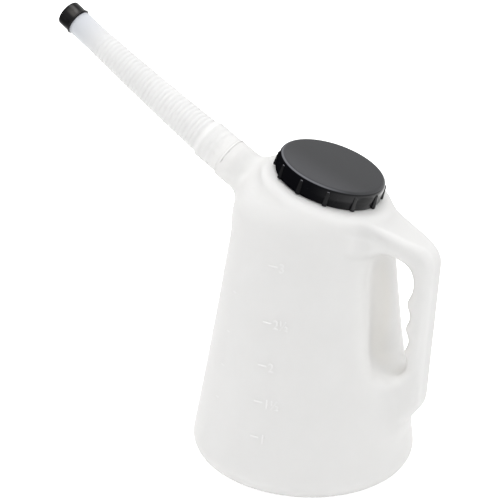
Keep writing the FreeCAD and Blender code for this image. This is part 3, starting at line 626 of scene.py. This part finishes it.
LID_R, LID_WALL, LID_TOP, LID_ROUND = 40.8, 1.9, 1.8, 3.2
MOUTH_AXIS = (math.sin(MOUTH_TILT), 0.0, math.cos(MOUTH_TILT))
NECK_AXIS = (-math.sin(NECK_LEAN), 0.0, math.cos(NECK_LEAN))
NECK_AT = (NECK[0] * NECK_AXIS[0] + NECK[1] * NECK_AXIS[2]) * MM


def up_the_spout(low, high):
    """A mask that grows from 0 to 1 along the spout, from metres past the neck's point."""
    return along(NECK_AXIS, NECK_AT + low, NECK_AT + high)


# The body's colour: darker at the end of the pouring neck, where no light goes into the plastic; warmer
# deep in the finger recess, as painted bounce light; and darker along the outline, as painted shade.
milky = material(
    "milky_polyethylene", (0.845, 0.838, 0.824), (0.828, 0.821, 0.806), 0.36, 0.1, 700.0, 0.05,
    soft=0.85, scatter=0.008, specular=0.2, soft_where=up_the_spout(-0.029, -0.037), tints=[
        (in_recess, (0.86, 0.835, 0.79)),
        (up_the_spout(-0.037, -0.029), (0.738, 0.733, 0.724)),
        (at_the_limb, (0.665, 0.657, 0.643))])
# The spout's colour: darker at the cuff's lower edge, where no light goes into the plastic; darker from
# the first folds on and again towards the tip; darker along the outline, as painted shade; and darker
# and bluish by the cap, partly the thin tube's own bluish tint and partly painted shadow of the cap.
spout_milk = material(
    "spout_polyethylene", (0.85, 0.845, 0.835), (0.835, 0.83, 0.82), 0.38, 0.1, 900.0, 0.04,
    soft=0.6, scatter=0.005, specular=0.25, soft_where=up_the_spout(-0.025, -0.018), tints=[
        (up_the_spout(-0.018, -0.025), (0.755, 0.75, 0.741)),
        (up_the_spout(-0.010, 0.008), (0.77, 0.767, 0.762)),
        (up_the_spout(0.035, 0.075), (0.725, 0.723, 0.72)),
        (at_the_limb, (0.70, 0.697, 0.69)),
        (up_the_spout(0.100, 0.138), (0.583, 0.601, 0.64))])
mark_milk = material(
    "raised_marks", (0.868, 0.863, 0.853), (0.853, 0.848, 0.838), 0.34, 0.05, 700.0, 0.03)

# directions on the lid and the cap: towards the light, and where the blacks have their sheen, which
# their colour carries as painted highlights
lid_front, lid_near, lid_right = (-0.5, -0.87, 0.0), (-0.14, -0.99, 0.0), (0.9, 0.43, 0.0)
cap_lit, cap_shaded = (0.35, -0.61, 0.71), (-0.85, -0.43, -0.3)
on_lid_top = along(MOUTH_AXIS, 0.9, 0.99, "Normal")
on_lid_edge = both(along(MOUTH_AXIS, 0.6, 0.74, "Normal"), along(MOUTH_AXIS, 0.992, 0.955, "Normal"))
# The lid's black carries painted highlights and sheen in its colour: lighter on the ribs and along the
# rim edge, with a bright painted highlight on the front of the rim, and lighter on the top, most on its
# near side.
lid_black = material(
    "satin_black_painted_sheen", (0.0045, 0.0046, 0.0056), (0.003, 0.0031, 0.004), 0.10, 0.05, 1600.0, 0.1,
    specular=0.0, tints=[
        (on_lid_ribs, (0.012, 0.012, 0.0128)),
        (on_lid_edge, (0.035, 0.036, 0.039)),
        (both(on_lid_edge, along(lid_front, 0.0, 0.03)), (0.15, 0.152, 0.165)),
        (on_lid_top, (0.0285, 0.0292, 0.0318)),
        (both(on_lid_top, along(lid_near, 0.0, 0.035)), (0.050, 0.0505, 0.0555))],
    matt=(on_lid_top, 0.34), gloss=[(along(lid_right, -0.005, 0.034), 0.26), (on_lid_top, 0.15)])
# The cap's colour carries a painted highlight: lighter on its side towards the light, near its open
# end.
cap_black = material(
    "gloss_black_painted_highlight", (0.004, 0.004, 0.0045), (0.003, 0.003, 0.0035), 0.10, 0.05, 800.0, 0.03,
    specular=0.17, gloss=[(along(cap_shaded, 0.1, 0.6, "Normal"), 0.02)], tints=[
        (both(up_the_spout(0.1500, 0.1430), along(cap_lit, 0.9, 0.99, "Normal")),
         (0.055, 0.052, 0.0495))])
seal_rubber = material(
    "seal_rubber", (0.06, 0.06, 0.062), (0.045, 0.045, 0.047), 0.6, 0.15, 1200.0, 0.3)

# ---------------------------------------------------------------- jug moulding
SKIN = 2.0
LIP_R, LIP_RISE = 37.4, 13.8
NOZZLE_R, NOZZLE_END = 13.6, -7.4
GRID = 1.75
grid_low, grid_high = (-93.0, -93.0, -3.0), (105.0, 93.0, 252.0)
# how far the rings at mouth and neck reach under the skin, outside and inside
LAP, INNER_LAP = 0.3, 0.8


def inner_field(x, y, z):
    """The space inside the skin."""
    return jug_field(x, y, z) + SKIN


def opened(points, faces, drops):
    """Leave out the faces whose corners all lie in one of the given spots."""
    keep = np.ones(len(faces), bool)
    for drop in drops:
        keep &= ~drop[faces].all(axis=1)
    return points, faces[keep]


outside, outside_faces = skin_mesh(jug_field, grid_low, grid_high, GRID)
outside = settle(jug_field, outside, outside_faces, 3, 0.8)
mouth_r, mouth_h = about_axis(*outside.T, MOUTH, MOUTH_TILT)
neck_r, neck_s = about_axis(*outside.T, NECK, -NECK_LEAN)
outside, outside_faces = opened(outside, outside_faces, [
    (mouth_h > STEP_RISE - LAP) & (mouth_r < LIP_R + 1.5),
    (neck_s > NECK_STEP - LAP) & (neck_r < NOZZLE_R + 0.9)])
inside, inside_faces = skin_mesh(inner_field, grid_low, grid_high, GRID * 1.5)
inside = settle(inner_field, inside, inside_faces, 2, 1.2)
mouth_r, mouth_h = about_axis(*inside.T, MOUTH, MOUTH_TILT)
neck_r, neck_s = about_axis(*inside.T, NECK, -NECK_LEAN)
inside, inside_faces = opened(inside, inside_faces, [
    (mouth_h > STEP_RISE - SKIN - INNER_LAP) & (mouth_r < LIP_R - SKIN),
    (neck_s > NECK_STEP - SKIN - INNER_LAP) & (neck_r < NOZZLE_R - SKIN)])

to_mouth = lean_frame(MOUTH, MOUTH_TILT)
to_neck = lean_frame(NECK, -NECK_LEAN)
neck_ring, neck_ring_faces = lathe([
    (LIP_R - SKIN, STEP_RISE - SKIN - 1.6), (LIP_R - SKIN + 3.5, STEP_RISE - SKIN - 1.2),
    (STEP_R - 0.6, STEP_RISE - 0.25), (LIP_R + 0.4, STEP_RISE), (LIP_R, STEP_RISE + 0.6),
    (LIP_R, LIP_RISE - 0.5), (LIP_R - 0.5, LIP_RISE), (LIP_R - SKIN + 0.5, LIP_RISE),
    (LIP_R - SKIN, LIP_RISE - 0.5)], 128)
nozzle, nozzle_faces = lathe([
    (NOZZLE_R - SKIN, NECK_STEP - SKIN - 1.6), (NOZZLE_R - SKIN + 1.6, NECK_STEP - SKIN - 1.2),
    (NECK_R - 1.2, NECK_STEP - 0.25), (NOZZLE_R + 0.3, NECK_STEP), (NOZZLE_R, NECK_STEP + 0.5),
    (NOZZLE_R, NOZZLE_END - 0.4), (NOZZLE_R - 0.4, NOZZLE_END),
    (NOZZLE_R - SKIN + 0.4, NOZZLE_END), (NOZZLE_R - SKIN, NOZZLE_END - 0.4)], 72)
lid_thread, lid_thread_faces = helix_ridge(
    LIP_R, low=5.0, turns=1.7, pitch=4.0, width=2.4, height=1.1, steps=96)
spout_thread, spout_thread_faces = helix_ridge(
    NOZZLE_R, low=-22.0, turns=2.4, pitch=5.0, width=2.2, height=0.7, steps=64)

jug_points, jug_faces = combine([
    (outside, outside_faces.tolist()),
    (inside, inside_faces[:, ::-1].tolist()),
    (to_mouth(neck_ring), neck_ring_faces),
    (to_neck(nozzle), nozzle_faces),
    (to_mouth(lid_thread), lid_thread_faces),
    (to_neck(spout_thread), spout_thread_faces)])
jug = make_object("jug_moulding", jug_points, jug_faces, milky)
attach(jug, "jug")
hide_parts("jug_body")


# ---------------------------------------------------------------- raised litre marks
MARK_SUNK = 0.15
LITRES = [("3", 175.7), ("2½", 133.7), ("2", 101.2), ("1½", 73.4), ("1", 46.1)]
LITRE_BAR, FIGURE_TALL, FIGURE_RIGHT, FIGURE_DOWN = (6.8, 1.3), 6.8, 4.6, 0.8
SIDE_BARS, SIDE_BAR, SIDE_ROW = (146.0, 115.0, 88.0, 62.0), (3.6, 1.1), math.radians(-30.0)
MOULD_MARK, MOULD_MARK_HEIGHT, DISC_STEPS = math.radians(80.0), 38.0, 24


def wall_radius(z):
    """The body's outer radius at a height."""
    share = z / BODY_H
    return BASE_R + (CROWN_R - BASE_R) * share - 4 * WALL_SAG * share * (1 - share)


def on_wall(points, height, bearing, proud):
    """Wrap flat points (across, up, out) on the jug's wall. Bearing 0 faces -Y."""
    points = np.asarray(points, float)
    z = height + points[:, 1]
    radius = wall_radius(z) + points[:, 2] * proud - MARK_SUNK
    angle = bearing + points[:, 0] / wall_radius(height)
    return np.stack([radius * np.sin(angle), -radius * np.cos(angle), z], axis=1)


def raised_bar(width, tall):
    """A bar in columns, so that it can follow the wall."""
    points, faces = [], []
    columns = 7
    for i in range(columns):
        x = width * (i / (columns - 1) - 0.5)
        points += [(x, -tall / 2, 0), (x, -tall / 3, 1), (x, tall / 3, 1), (x, tall / 2, 0)]
    for i in range(columns - 1):
        a, b = i * 4, i * 4 + 4
        for k in range(3):
            faces.append((a + k, b + k, b + k + 1, a + k + 1))
    faces.append((0, 1, 2, 3))
    last = (columns - 1) * 4
    faces.append((last + 3, last + 2, last + 1, last))
    return points, faces


def numeral(text, tall):
    """A plain numeral as flat raised strokes."""
    curve = bpy.data.curves.new("numeral", "FONT")
    curve.body = text
    curve.size = tall * 1.4
    curve.extrude = 0.5
    curve.offset = 0.012 * tall
    curve.align_x = "LEFT"
    curve.align_y = "CENTER"
    holder = bpy.data.objects.new("numeral", curve)
    bpy.context.scene.collection.objects.link(holder)
    graph = bpy.context.evaluated_depsgraph_get()
    mesh = bpy.data.meshes.new_from_object(holder.evaluated_get(graph))
    points = [(v.co.x, v.co.y, v.co.z + 0.5) for v in mesh.vertices]
    faces = [tuple(p.vertices) for p in mesh.polygons]
    bpy.data.objects.remove(holder)
    bpy.data.curves.remove(curve)
    bpy.data.meshes.remove(mesh)
    return points, faces


marks = []
for text, height in LITRES:
    bar, bar_faces = raised_bar(*LITRE_BAR)
    marks.append((on_wall(bar, height, bearing=0.0, proud=0.3), bar_faces))
    figure, figure_faces = numeral(text, FIGURE_TALL)
    shift = [(x + FIGURE_RIGHT, y, z) for x, y, z in figure]
    marks.append((on_wall(shift, height - FIGURE_DOWN, bearing=0.0, proud=0.28), figure_faces))
# a second, shorter row of bars to the left, and a small round mould mark low by the handle
for height in SIDE_BARS:
    bar, bar_faces = raised_bar(*SIDE_BAR)
    marks.append((on_wall(bar, height, SIDE_ROW, proud=0.2), bar_faces))
disc, disc_faces = lathe([(4.0, 0), (3.7, 1), (3.1, 1), (2.8, 0)], DISC_STEPS, closed=False)
marks.append((on_wall(disc, MOULD_MARK_HEIGHT, MOULD_MARK, proud=0.25), disc_faces))
mark_points, mark_faces = combine(marks)
scale_marks = make_object("litre_marks", mark_points, mark_faces, mark_milk, smooth=False)
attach(scale_marks, "jug")

# ---------------------------------------------------------------- screw lid
SEAL_THICK, SEAL_PLAY = 1.6, 0.2
LID_LOW = STEP_RISE + 1.0
LID_UNDER = LIP_RISE + SEAL_THICK + SEAL_PLAY
LID_HIGH = LID_UNDER + LID_TOP
lid_profile = [(0.001, LID_UNDER), (LID_R - LID_WALL - 0.6, LID_UNDER),
               (LID_R - LID_WALL, LID_UNDER - 0.6), (LID_R - LID_WALL, LID_LOW + 0.3),
               (LID_R - LID_WALL + 0.3, LID_LOW), (LID_R - 0.4, LID_LOW), (LID_R, LID_LOW + 0.4),
               (LID_R, LID_HIGH - LID_ROUND)]
for i in range(1, 9):
    a = math.pi / 2 * i / 8
    lid_profile.append((LID_R - LID_ROUND * (1 - math.cos(a)),
                        LID_HIGH - LID_ROUND * (1 - math.sin(a))))
lid_profile += [(LID_R - LID_ROUND - 1.2, LID_HIGH), (20.0, LID_HIGH), (0.001, LID_HIGH)]
lid_points, lid_faces = lathe(lid_profile, 192, closed=False)


def rib_mesh(width, proud, low, high):
    """One upright grip rib, prouder and wider at the skirt's edge, standing on it at +X."""
    points, faces = [], []
    arch = 17
    levels = np.concatenate([[low, low + 0.3], np.linspace(low + 2, high - width / 3, 5)])
    dome = np.linspace(0, math.pi / 2, 6)[1:]
    rows = [(level, 1.0) for level in levels]
    rows[0] = (low, 0.9)
    rows += [(high - width / 3 * (1 - math.sin(a)), max(math.cos(a), 0.02)) for a in dome]
    for level, share in rows:
        down = (high - level) / (high - low)
        half = width / 2 * (0.75 + 0.35 * down) * share
        out = proud * (0.55 + 0.6 * down) * share
        row = [(LID_R - 0.8, -half, level)]
        for k in range(arch):
            a = -math.pi / 2 + math.pi * k / (arch - 1)
            row.append((LID_R - 0.3 + (out + 0.3) * math.cos(a) ** 0.6, half * math.sin(a), level))
        row.append((LID_R - 0.8, half, level))
        points += row
    n = arch + 2
    for i in range(len(rows) - 1):
        for k in range(n - 1):
            a, b = i * n + k, (i + 1) * n + k
            faces.append((a, a + 1, b + 1, b))
    faces.append(tuple(range(n))[::-1])
    return np.array(points), faces


def ring_of(source, count, material_used, name):
    """Copies of a mesh spread evenly round Z, made with geometry nodes."""
    tree = bpy.data.node_groups.new(name, "GeometryNodeTree")
    tree.interface.new_socket("Geometry", in_out="OUTPUT", socket_type="NodeSocketGeometry")
    number = tree.interface.new_socket("Rib count", in_out="INPUT", socket_type="NodeSocketInt")
    start = add(tree, "NodeGroupInput")
    end = add(tree, "NodeGroupOutput")
    info = add(tree, "GeometryNodeObjectInfo", Object=source)
    points = add(tree, "GeometryNodePoints")
    turn = add(tree, "ShaderNodeMath", operation="DIVIDE")
    turn.inputs[0].default_value = 2 * math.pi
    index = add(tree, "GeometryNodeInputIndex")
    angle = add(tree, "ShaderNodeMath", operation="MULTIPLY")
    spin = add(tree, "ShaderNodeCombineXYZ")
    place = add(tree, "GeometryNodeInstanceOnPoints")
    real = add(tree, "GeometryNodeRealizeInstances")
    paint = add(tree, "GeometryNodeSetMaterial", Material=material_used)
    for given, taken in (
            (start.outputs["Rib count"], points.inputs["Count"]),
            (start.outputs["Rib count"], turn.inputs[1]),
            (index.outputs[0], angle.inputs[0]), (turn.outputs[0], angle.inputs[1]),
            (angle.outputs[0], spin.inputs["Z"]), (spin.outputs[0], place.inputs["Rotation"]),
            (points.outputs[0], place.inputs["Points"]),
            (info.outputs["Geometry"], place.inputs["Instance"]),
            (place.outputs[0], real.inputs[0]), (real.outputs[0], paint.inputs["Geometry"]),
            (paint.outputs[0], end.inputs[0])):
        tree.links.new(given, taken)
    holder = bpy.data.objects.new(name, bpy.data.meshes.new(name))
    bpy.context.scene.collection.objects.link(holder)
    modifier = holder.modifiers.new(name, "NODES")
    modifier.node_group = tree
    modifier[number.identifier] = count
    graph = bpy.context.evaluated_depsgraph_get()
    mesh = bpy.data.meshes.new_from_object(holder.evaluated_get(graph))
    holder.modifiers.clear()
    bpy.data.objects.remove(holder)
    return mesh


RIBS, RIB_WIDTH, RIB_PROUD, RIB_TALL = 12, 3.4, 1.7, 11.2
rib_points, rib_faces = rib_mesh(RIB_WIDTH, RIB_PROUD, LID_LOW, LID_LOW + RIB_TALL)
one_rib = make_object("one_rib", rib_points, rib_faces, lid_black)
rib_ring = ring_of(one_rib, RIBS, lid_black, "lid_ribs")
bpy.data.objects.remove(one_rib)
ribs_flat = np.array([v.co for v in rib_ring.vertices]) / MM
ribs_faces = [tuple(p.vertices) for p in rib_ring.polygons]
# the lid stops with its ribs a little round from the handle's line
stop = math.radians(-6.5)
ribs_flat = ribs_flat @ np.array([[math.cos(stop), math.sin(stop), 0],
                                  [-math.sin(stop), math.cos(stop), 0], [0, 0, 1]])
lid_all, lid_all_faces = combine([(to_mouth(lid_points), lid_faces), (to_mouth(ribs_flat), ribs_faces)])
lid = make_object("lid", lid_all, lid_all_faces, lid_black)
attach(lid, "lid")
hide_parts("screw_lid")

# ---------------------------------------------------------------- flexible spout
BEND_R = 2800.0
FOLDS, PITCH, FOLD_DEPTH = 30, 3.7, 0.45
TUBE_START, TUBE_END, TUBE_WALL = 14.2, 10.6, 1.1
CUFF_R, CUFF_WALL, CUFF_LOW, CUFF_HIGH = 15.8, 1.3, -26.95, -5.0
TIP_R, TIP_LENGTH, PLUG_R, PLUG_LENGTH = 10.2, 27.0, 9.4, 10.5
CUFF_WAVE, CUFF_WAVE_PITCH, CUFF_EDGE = 0.14, 5.0, 1.2
FOLDED = FOLDS * PITCH
TIP_END = FOLDED + TIP_LENGTH
PLUG_END = TIP_END + PLUG_LENGTH


def bent(points):
    """Bend points drawn round +Z along the tube's gentle curve; nothing moves below 0."""
    points = np.asarray(points, float)
    run = np.maximum(points[:, 2], 0)
    turn = run / BEND_R
    x = points[:, 0] * np.cos(turn) + BEND_R * (1 - np.cos(turn))
    z = -points[:, 0] * np.sin(turn) + BEND_R * np.sin(turn) + np.minimum(points[:, 2], 0)
    return np.stack([x, points[:, 1], z], axis=1)


outer_run = [(CUFF_R - CUFF_WALL + 0.3, CUFF_LOW), (NECK_R + 0.04, CUFF_LOW),
             (NECK_R + 0.04, CUFF_LOW - 0.9), (NECK_R + 0.12, CUFF_LOW - 0.9),
             (NECK_R + 0.14, CUFF_LOW - 0.2), (CUFF_R, CUFF_LOW + CUFF_EDGE)]
for s in np.arange(CUFF_LOW + CUFF_EDGE, CUFF_HIGH - CUFF_EDGE, 0.6):
    wave = math.cos(2 * math.pi * (s - CUFF_LOW - 6.0) / CUFF_WAVE_PITCH)
    swell = CUFF_WAVE * wave * ease(s, CUFF_LOW + 2, CUFF_LOW + 6)
    outer_run.append((CUFF_R - CUFF_WAVE + swell, s))
# the shoulder, from the cuff in to the first fold
for s in np.arange(CUFF_HIGH - 1.0, -0.3, 0.4):
    outer_run.append((CUFF_R - (CUFF_R - TUBE_START + FOLD_DEPTH) * ease(s, CUFF_HIGH - 1.0, -0.3), s))
for s in np.arange(0, FOLDED + 1e-6, PITCH / 10):
    crest = TUBE_START + (TUBE_END - TUBE_START) * s / FOLDED
    dip = (0.5 + 0.5 * math.cos(2 * math.pi * s / PITCH)) ** 1.6
    outer_run.append((crest - FOLD_DEPTH * dip, s))
outer_run += [(TIP_R, FOLDED + 1.0), (TIP_R, (FOLDED + TIP_END) / 2), (TIP_R, TIP_END - 0.2),
              (TIP_R - 0.2, TIP_END), (PLUG_R, TIP_END), (PLUG_R, PLUG_END - 0.4),
              (PLUG_R - 0.4, PLUG_END)]
bore = [(PLUG_R - TUBE_WALL, PLUG_END), (PLUG_R - TUBE_WALL, FOLDED)]
bore_start = TUBE_START - FOLD_DEPTH - TUBE_WALL
for s in np.arange(FOLDED - PITCH / 2, 0.1, -PITCH / 4):
    bore.append((bore_start + (PLUG_R - TUBE_WALL - bore_start) * s / FOLDED, s))
WASHER_THICK, WASHER_PLAY = 1.4, 0.2
seat = WASHER_THICK + WASHER_PLAY + NOZZLE_END
bore += [(bore_start, 0.0), (bore_start, seat), (CUFF_R - CUFF_WALL, seat),
         (CUFF_R - CUFF_WALL, CUFF_LOW + 0.3)]
tube_points, tube_faces = lathe(outer_run + bore, 64)
spout = make_object("spout", to_neck(bent(tube_points)), tube_faces, spout_milk)
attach(spout, "spout")
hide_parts("flexible_spout")

# ---------------------------------------------------------------- cap
CAP_WALL, CAP_LENGTH, BEAD_R, BEAD_H, CAP_ROUND = 1.1, 12.6, 11.3, 0.8, 1.6
CAP_PLAY = 0.1
CAP_BORE = PLUG_R + CAP_PLAY
CAP_R = CAP_BORE + CAP_WALL
cap_profile = [(CAP_BORE, CAP_PLAY)]
for i in range(9):
    a = -math.pi / 2 + math.pi * i / 8
    cap_profile.append((BEAD_R - BEAD_H + BEAD_H * math.cos(a),
                        CAP_PLAY + BEAD_H + BEAD_H * math.sin(a)))
bead_end = CAP_PLAY + 2 * BEAD_H
cap_profile += [(CAP_R + 0.15, bead_end), (CAP_R, bead_end + 0.3), (CAP_R, CAP_LENGTH / 2)]
for i in range(7):
    a = math.pi / 2 * i / 6
    cap_profile.append((CAP_R - CAP_ROUND * (1 - math.cos(a)),
                        CAP_LENGTH - CAP_ROUND * (1 - math.sin(a))))
cap_profile += [(CAP_R - CAP_ROUND - 0.8, CAP_LENGTH), (0.001, CAP_LENGTH)]
cap_profile += [(0.001, CAP_LENGTH - CAP_WALL), (CAP_BORE, CAP_LENGTH - CAP_WALL)]
cap_points, cap_faces = lathe(cap_profile, 96)
cap_points[:, 2] += TIP_END


def straight_on(points):
    """Carry points drawn round +Z to the tube's end, straight along its direction there."""
    turn = TIP_END / BEND_R
    beyond = points[:, 2] - TIP_END
    x = (points[:, 0] * math.cos(turn) + beyond * math.sin(turn)
         + BEND_R * (1 - math.cos(turn)))
    z = -points[:, 0] * math.sin(turn) + beyond * math.cos(turn) + BEND_R * math.sin(turn)
    return np.stack([x, points[:, 1], z], axis=1)


cap = make_object("cap", to_neck(straight_on(cap_points)), cap_faces, cap_black)
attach(cap, "cap")
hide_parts("spout_cap")

# ---------------------------------------------------------------- seals: shown as the CAD has them
for node in ("lid_seal", "spout_seal"):
    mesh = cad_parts[node].data
    mesh.materials.clear()
    mesh.materials.append(seal_rubber)

# ---------------------------------------------------------------- floor, light and camera
FLOOR_HALF, FLOOR_DROP, FLOOR_GLOW = 4.0, 0.0004, 0.72
SKY_STRENGTH, SKY_LOW, SKY_HIGH = 1.22, -0.2, 0.9


def seen_share(tree):
    """1 for camera, glossy and transmission rays, which see the background as white."""
    path = add(tree, "ShaderNodeLightPath")
    total = path.outputs["Is Camera Ray"]
    for kind in ("Is Glossy Ray", "Is Transmission Ray"):
        either = add(tree, "ShaderNodeMath", operation="MAXIMUM")
        tree.links.new(total, either.inputs[0])
        tree.links.new(path.outputs[kind], either.inputs[1])
        total = either.outputs[0]
    return total


floor_mesh = bpy.data.meshes.new("floor")
floor_corners = [(x * FLOOR_HALF, y * FLOOR_HALF, 0) for x, y in ((-1, -1), (1, -1), (1, 1), (-1, 1))]
floor_mesh.from_pydata(floor_corners, [], [(0, 1, 2, 3)])
floor = bpy.data.objects.new("floor", floor_mesh)
bpy.context.scene.collection.objects.link(floor)
floor.location.z = -FLOOR_DROP
floor_paint = bpy.data.materials.new("floor_paint")
floor_paint.use_nodes = True
tree = floor_paint.node_tree
shader = tree.nodes["Principled BSDF"]
shader.inputs["Roughness"].default_value = 0.9
shader.inputs["Specular IOR Level"].default_value = 0.1
speckle = add(tree, "ShaderNodeTexNoise", Scale=3.0, Detail=2.0)
tint = two_tones(tree, (0.90, 0.90, 0.90), (0.93, 0.93, 0.93))
tree.links.new(speckle.outputs["Fac"], tint.inputs["Fac"])
shader.inputs["Emission Color"].default_value = (1, 1, 1, 1)
tree.links.new(tint.outputs["Color"], shader.inputs["Base Color"])
glow = add(tree, "ShaderNodeMath", operation="MULTIPLY")
glow.inputs[1].default_value = FLOOR_GLOW
tree.links.new(seen_share(tree), glow.inputs[0])
tree.links.new(glow.outputs[0], shader.inputs["Emission Strength"])
floor_mesh.materials.append(floor_paint)

world = bpy.data.worlds.new("room")
bpy.context.scene.world = world
world.use_nodes = True
tree = world.node_tree
background = tree.nodes["Background"]
background.inputs["Strength"].default_value = SKY_STRENGTH
split = add(tree, "ShaderNodeSeparateXYZ")
tree.links.new(object_places(tree, "Generated"), split.inputs[0])
height = share_between(tree, split.outputs["Z"], SKY_LOW, SKY_HIGH, "LINEAR")
sky = two_tones(tree, (0.60, 0.60, 0.595), (1.0, 1.0, 1.0))
tree.links.new(height, sky.inputs["Fac"])
tree.links.new(sky.outputs["Color"], background.inputs["Color"])
white = add(tree, "ShaderNodeBackground", Color=(1, 1, 1, 1), Strength=1.0)
either = add(tree, "ShaderNodeMixShader")
tree.links.new(seen_share(tree), either.inputs["Fac"])
tree.links.new(background.outputs[0], either.inputs[1])
tree.links.new(white.outputs[0], either.inputs[2])
tree.links.new(either.outputs[0], tree.nodes["World Output"].inputs["Surface"])


def area_light(name, place, target, size, power):
    """A soft rectangular lamp aimed at a point."""
    data = bpy.data.lights.new(name, "AREA")
    data.shape = "RECTANGLE"
    data.size, data.size_y = size
    data.energy = power
    lamp = bpy.data.objects.new(name, data)
    lamp.location = place
    lamp.rotation_euler = (Vector(target) - Vector(place)).to_track_quat("-Z", "Y").to_euler()
    bpy.context.scene.collection.objects.link(lamp)


middle = (0.0, 0.0, 0.15)
area_light("key", (-0.15, 0.1, 1.7), middle, (0.7, 0.5), 3.3)
area_light("front", (0.5, -0.95, 1.3), middle, (0.8, 0.4), 2.8)

CAMERA_AT = (0.40012, -0.81921, 0.52825)
LOOKING_AT = (-0.05398, 0.0, 0.15575)
ROLL = math.radians(1.815)
camera_data = bpy.data.cameras.new("camera")
camera_data.lens = 93.0
camera_data.sensor_width = 36.0
camera = bpy.data.objects.new("camera", camera_data)
camera.location = CAMERA_AT
look = (Vector(LOOKING_AT) - Vector(CAMERA_AT)).to_track_quat("-Z", "Y")
camera.rotation_mode = "QUATERNION"
camera.rotation_quaternion = look @ Quaternion((0, 0, 1), ROLL)
bpy.context.scene.collection.objects.link(camera)
bpy.context.scene.camera = camera
bpy.context.scene.view_settings.view_transform = "Standard"
